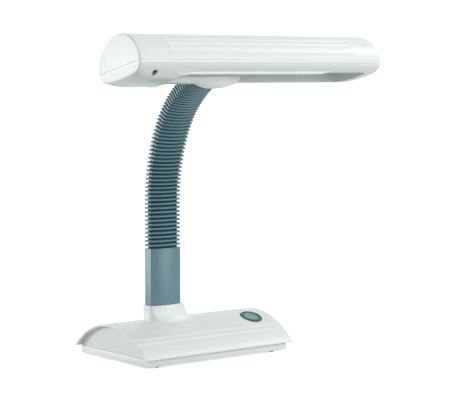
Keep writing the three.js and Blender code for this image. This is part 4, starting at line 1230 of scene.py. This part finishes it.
# Stage, lights and camera: in metres, but for the camera's place
STAGE_COLOUR = (0.60, 0.635, 0.625, 1)
STAGE_GLOW = 0.72
STAGE_HALF_WIDTH = 6.0
STAGE_BACK = 1.6
STAGE_BEND = 1.2
STAGE_TOP = 6.0
STAGE_TURN = math.radians(-38.15)
WORLD_COLOUR = (0.98, 1.0, 1.0, 1)
WORLD_LIGHT = 0.6
LIT_POINT = (0, 0, 0.2)
CAMERA_PLACE = (-1113.32, -1501.09, 328.85)
CAMERA_VIEW = Vector((0.6158, 0.7838, -0.0808))
CAMERA_LENS = 126.83
CAMERA_SENSOR = 36


def strength_into(tree, unseen, seen, socket):
    """One strength for what the camera sees, also by reflection or refraction, and one for all else."""
    path = tree.nodes.new("ShaderNodeLightPath")
    share = path.outputs["Is Camera Ray"]
    for ray in ("Is Glossy Ray", "Is Transmission Ray"):
        either = tree.nodes.new("ShaderNodeMath")
        either.operation = "MAXIMUM"
        tree.links.new(share, either.inputs[0])
        tree.links.new(path.outputs[ray], either.inputs[1])
        share = either.outputs[0]
    strength = set_inputs(tree.nodes.new("ShaderNodeMath"), {1: seen - unseen, 2: unseen})
    strength.operation = "MULTIPLY_ADD"
    tree.links.new(share, strength.inputs[0])
    tree.links.new(strength.outputs[0], socket)


def stage_material():
    material = bpy.data.materials.new("studio_white")
    material.use_nodes = True
    shader = set_inputs(material.node_tree.nodes["Principled BSDF"], {
        "Base Color": STAGE_COLOUR,
        "Roughness": 0.9,
        "Specular IOR Level": 0,
        "Emission Color": (1, 1, 1, 1),
    })
    strength_into(material.node_tree, 0, STAGE_GLOW, shader.inputs["Emission Strength"])
    return material


def make_stage():
    """Pale floor that curves up into a backdrop."""
    path = [(-STAGE_HALF_WIDTH, 0.0), (STAGE_BACK, 0.0)]
    for a in np.linspace(0.1, math.pi / 2, 14):
        path.append((STAGE_BACK + STAGE_BEND * math.sin(a), STAGE_BEND * (1 - math.cos(a))))
    path.append((STAGE_BACK + STAGE_BEND, STAGE_TOP))
    turn = Matrix.Rotation(STAGE_TURN, 3, "Z")
    sides = (-STAGE_HALF_WIDTH, STAGE_HALF_WIDTH)
    points = [tuple(turn @ Vector((x, y, z))) for y, z in path for x in sides]
    faces = [(2 * i, 2 * i + 1, 2 * i + 3, 2 * i + 2) for i in range(len(path) - 1)]
    mesh = bpy.data.meshes.new("floor")
    mesh.from_pydata(points, [], faces)
    mesh.shade_smooth()
    mesh.materials.append(stage_material())
    floor = add_object("floor", mesh)


def area_light(name, power, size, azimuth, elevation, distance=2.4):
    """Lamp round the object: azimuth in degrees from the front, positive to the left."""
    a, e = math.radians(-90 - azimuth), math.radians(elevation)
    away = Vector((math.cos(e) * math.cos(a), math.cos(e) * math.sin(a), math.sin(e)))
    data = bpy.data.lights.new(name, "AREA")
    data.shape = "RECTANGLE"
    data.size, data.size_y = size
    data.energy = power
    lamp = add_object(name, data)
    lamp.location = Vector(LIT_POINT) + away * distance
    lamp.rotation_euler = (-away).to_track_quat("-Z", "Y").to_euler()


def make_lights():
    area_light("left_light", 24, (1.15, 0.9), 136, 3)
    area_light("front_light", 21, (1.3, 1.2), -30, 15)
    area_light("right_light", 6, (0.5, 0.5), -66, 42, distance=2.0)


def make_world():
    """Even light from all round, which shows as white where the camera sees past the backdrop."""
    world = bpy.data.worlds.new("studio")
    world.use_nodes = True
    background = set_inputs(world.node_tree.nodes["Background"], {"Color": WORLD_COLOUR})
    strength_into(world.node_tree, WORLD_LIGHT, 1, background.inputs["Strength"])
    bpy.context.scene.world = world


def make_camera():
    data = bpy.data.cameras.new("camera")
    data.sensor_width = CAMERA_SENSOR
    data.lens = CAMERA_LENS
    camera = add_object("camera", data)
    camera.location = to_room([CAMERA_PLACE])[0]
    camera.rotation_euler = CAMERA_VIEW.to_track_quat("-Z", "Y").to_euler()
    bpy.context.scene.camera = camera


make_base_shell()
make_collar()
make_tray()
make_feet()
make_switch()
make_sleeve()
make_hose()
make_cover()
make_housing()
make_tubes()
make_reflector()
make_small_parts()
dress_nodes()
make_stage()
make_lights()
make_world()
make_camera()
bpy.context.scene.view_settings.view_transform = "Standard"
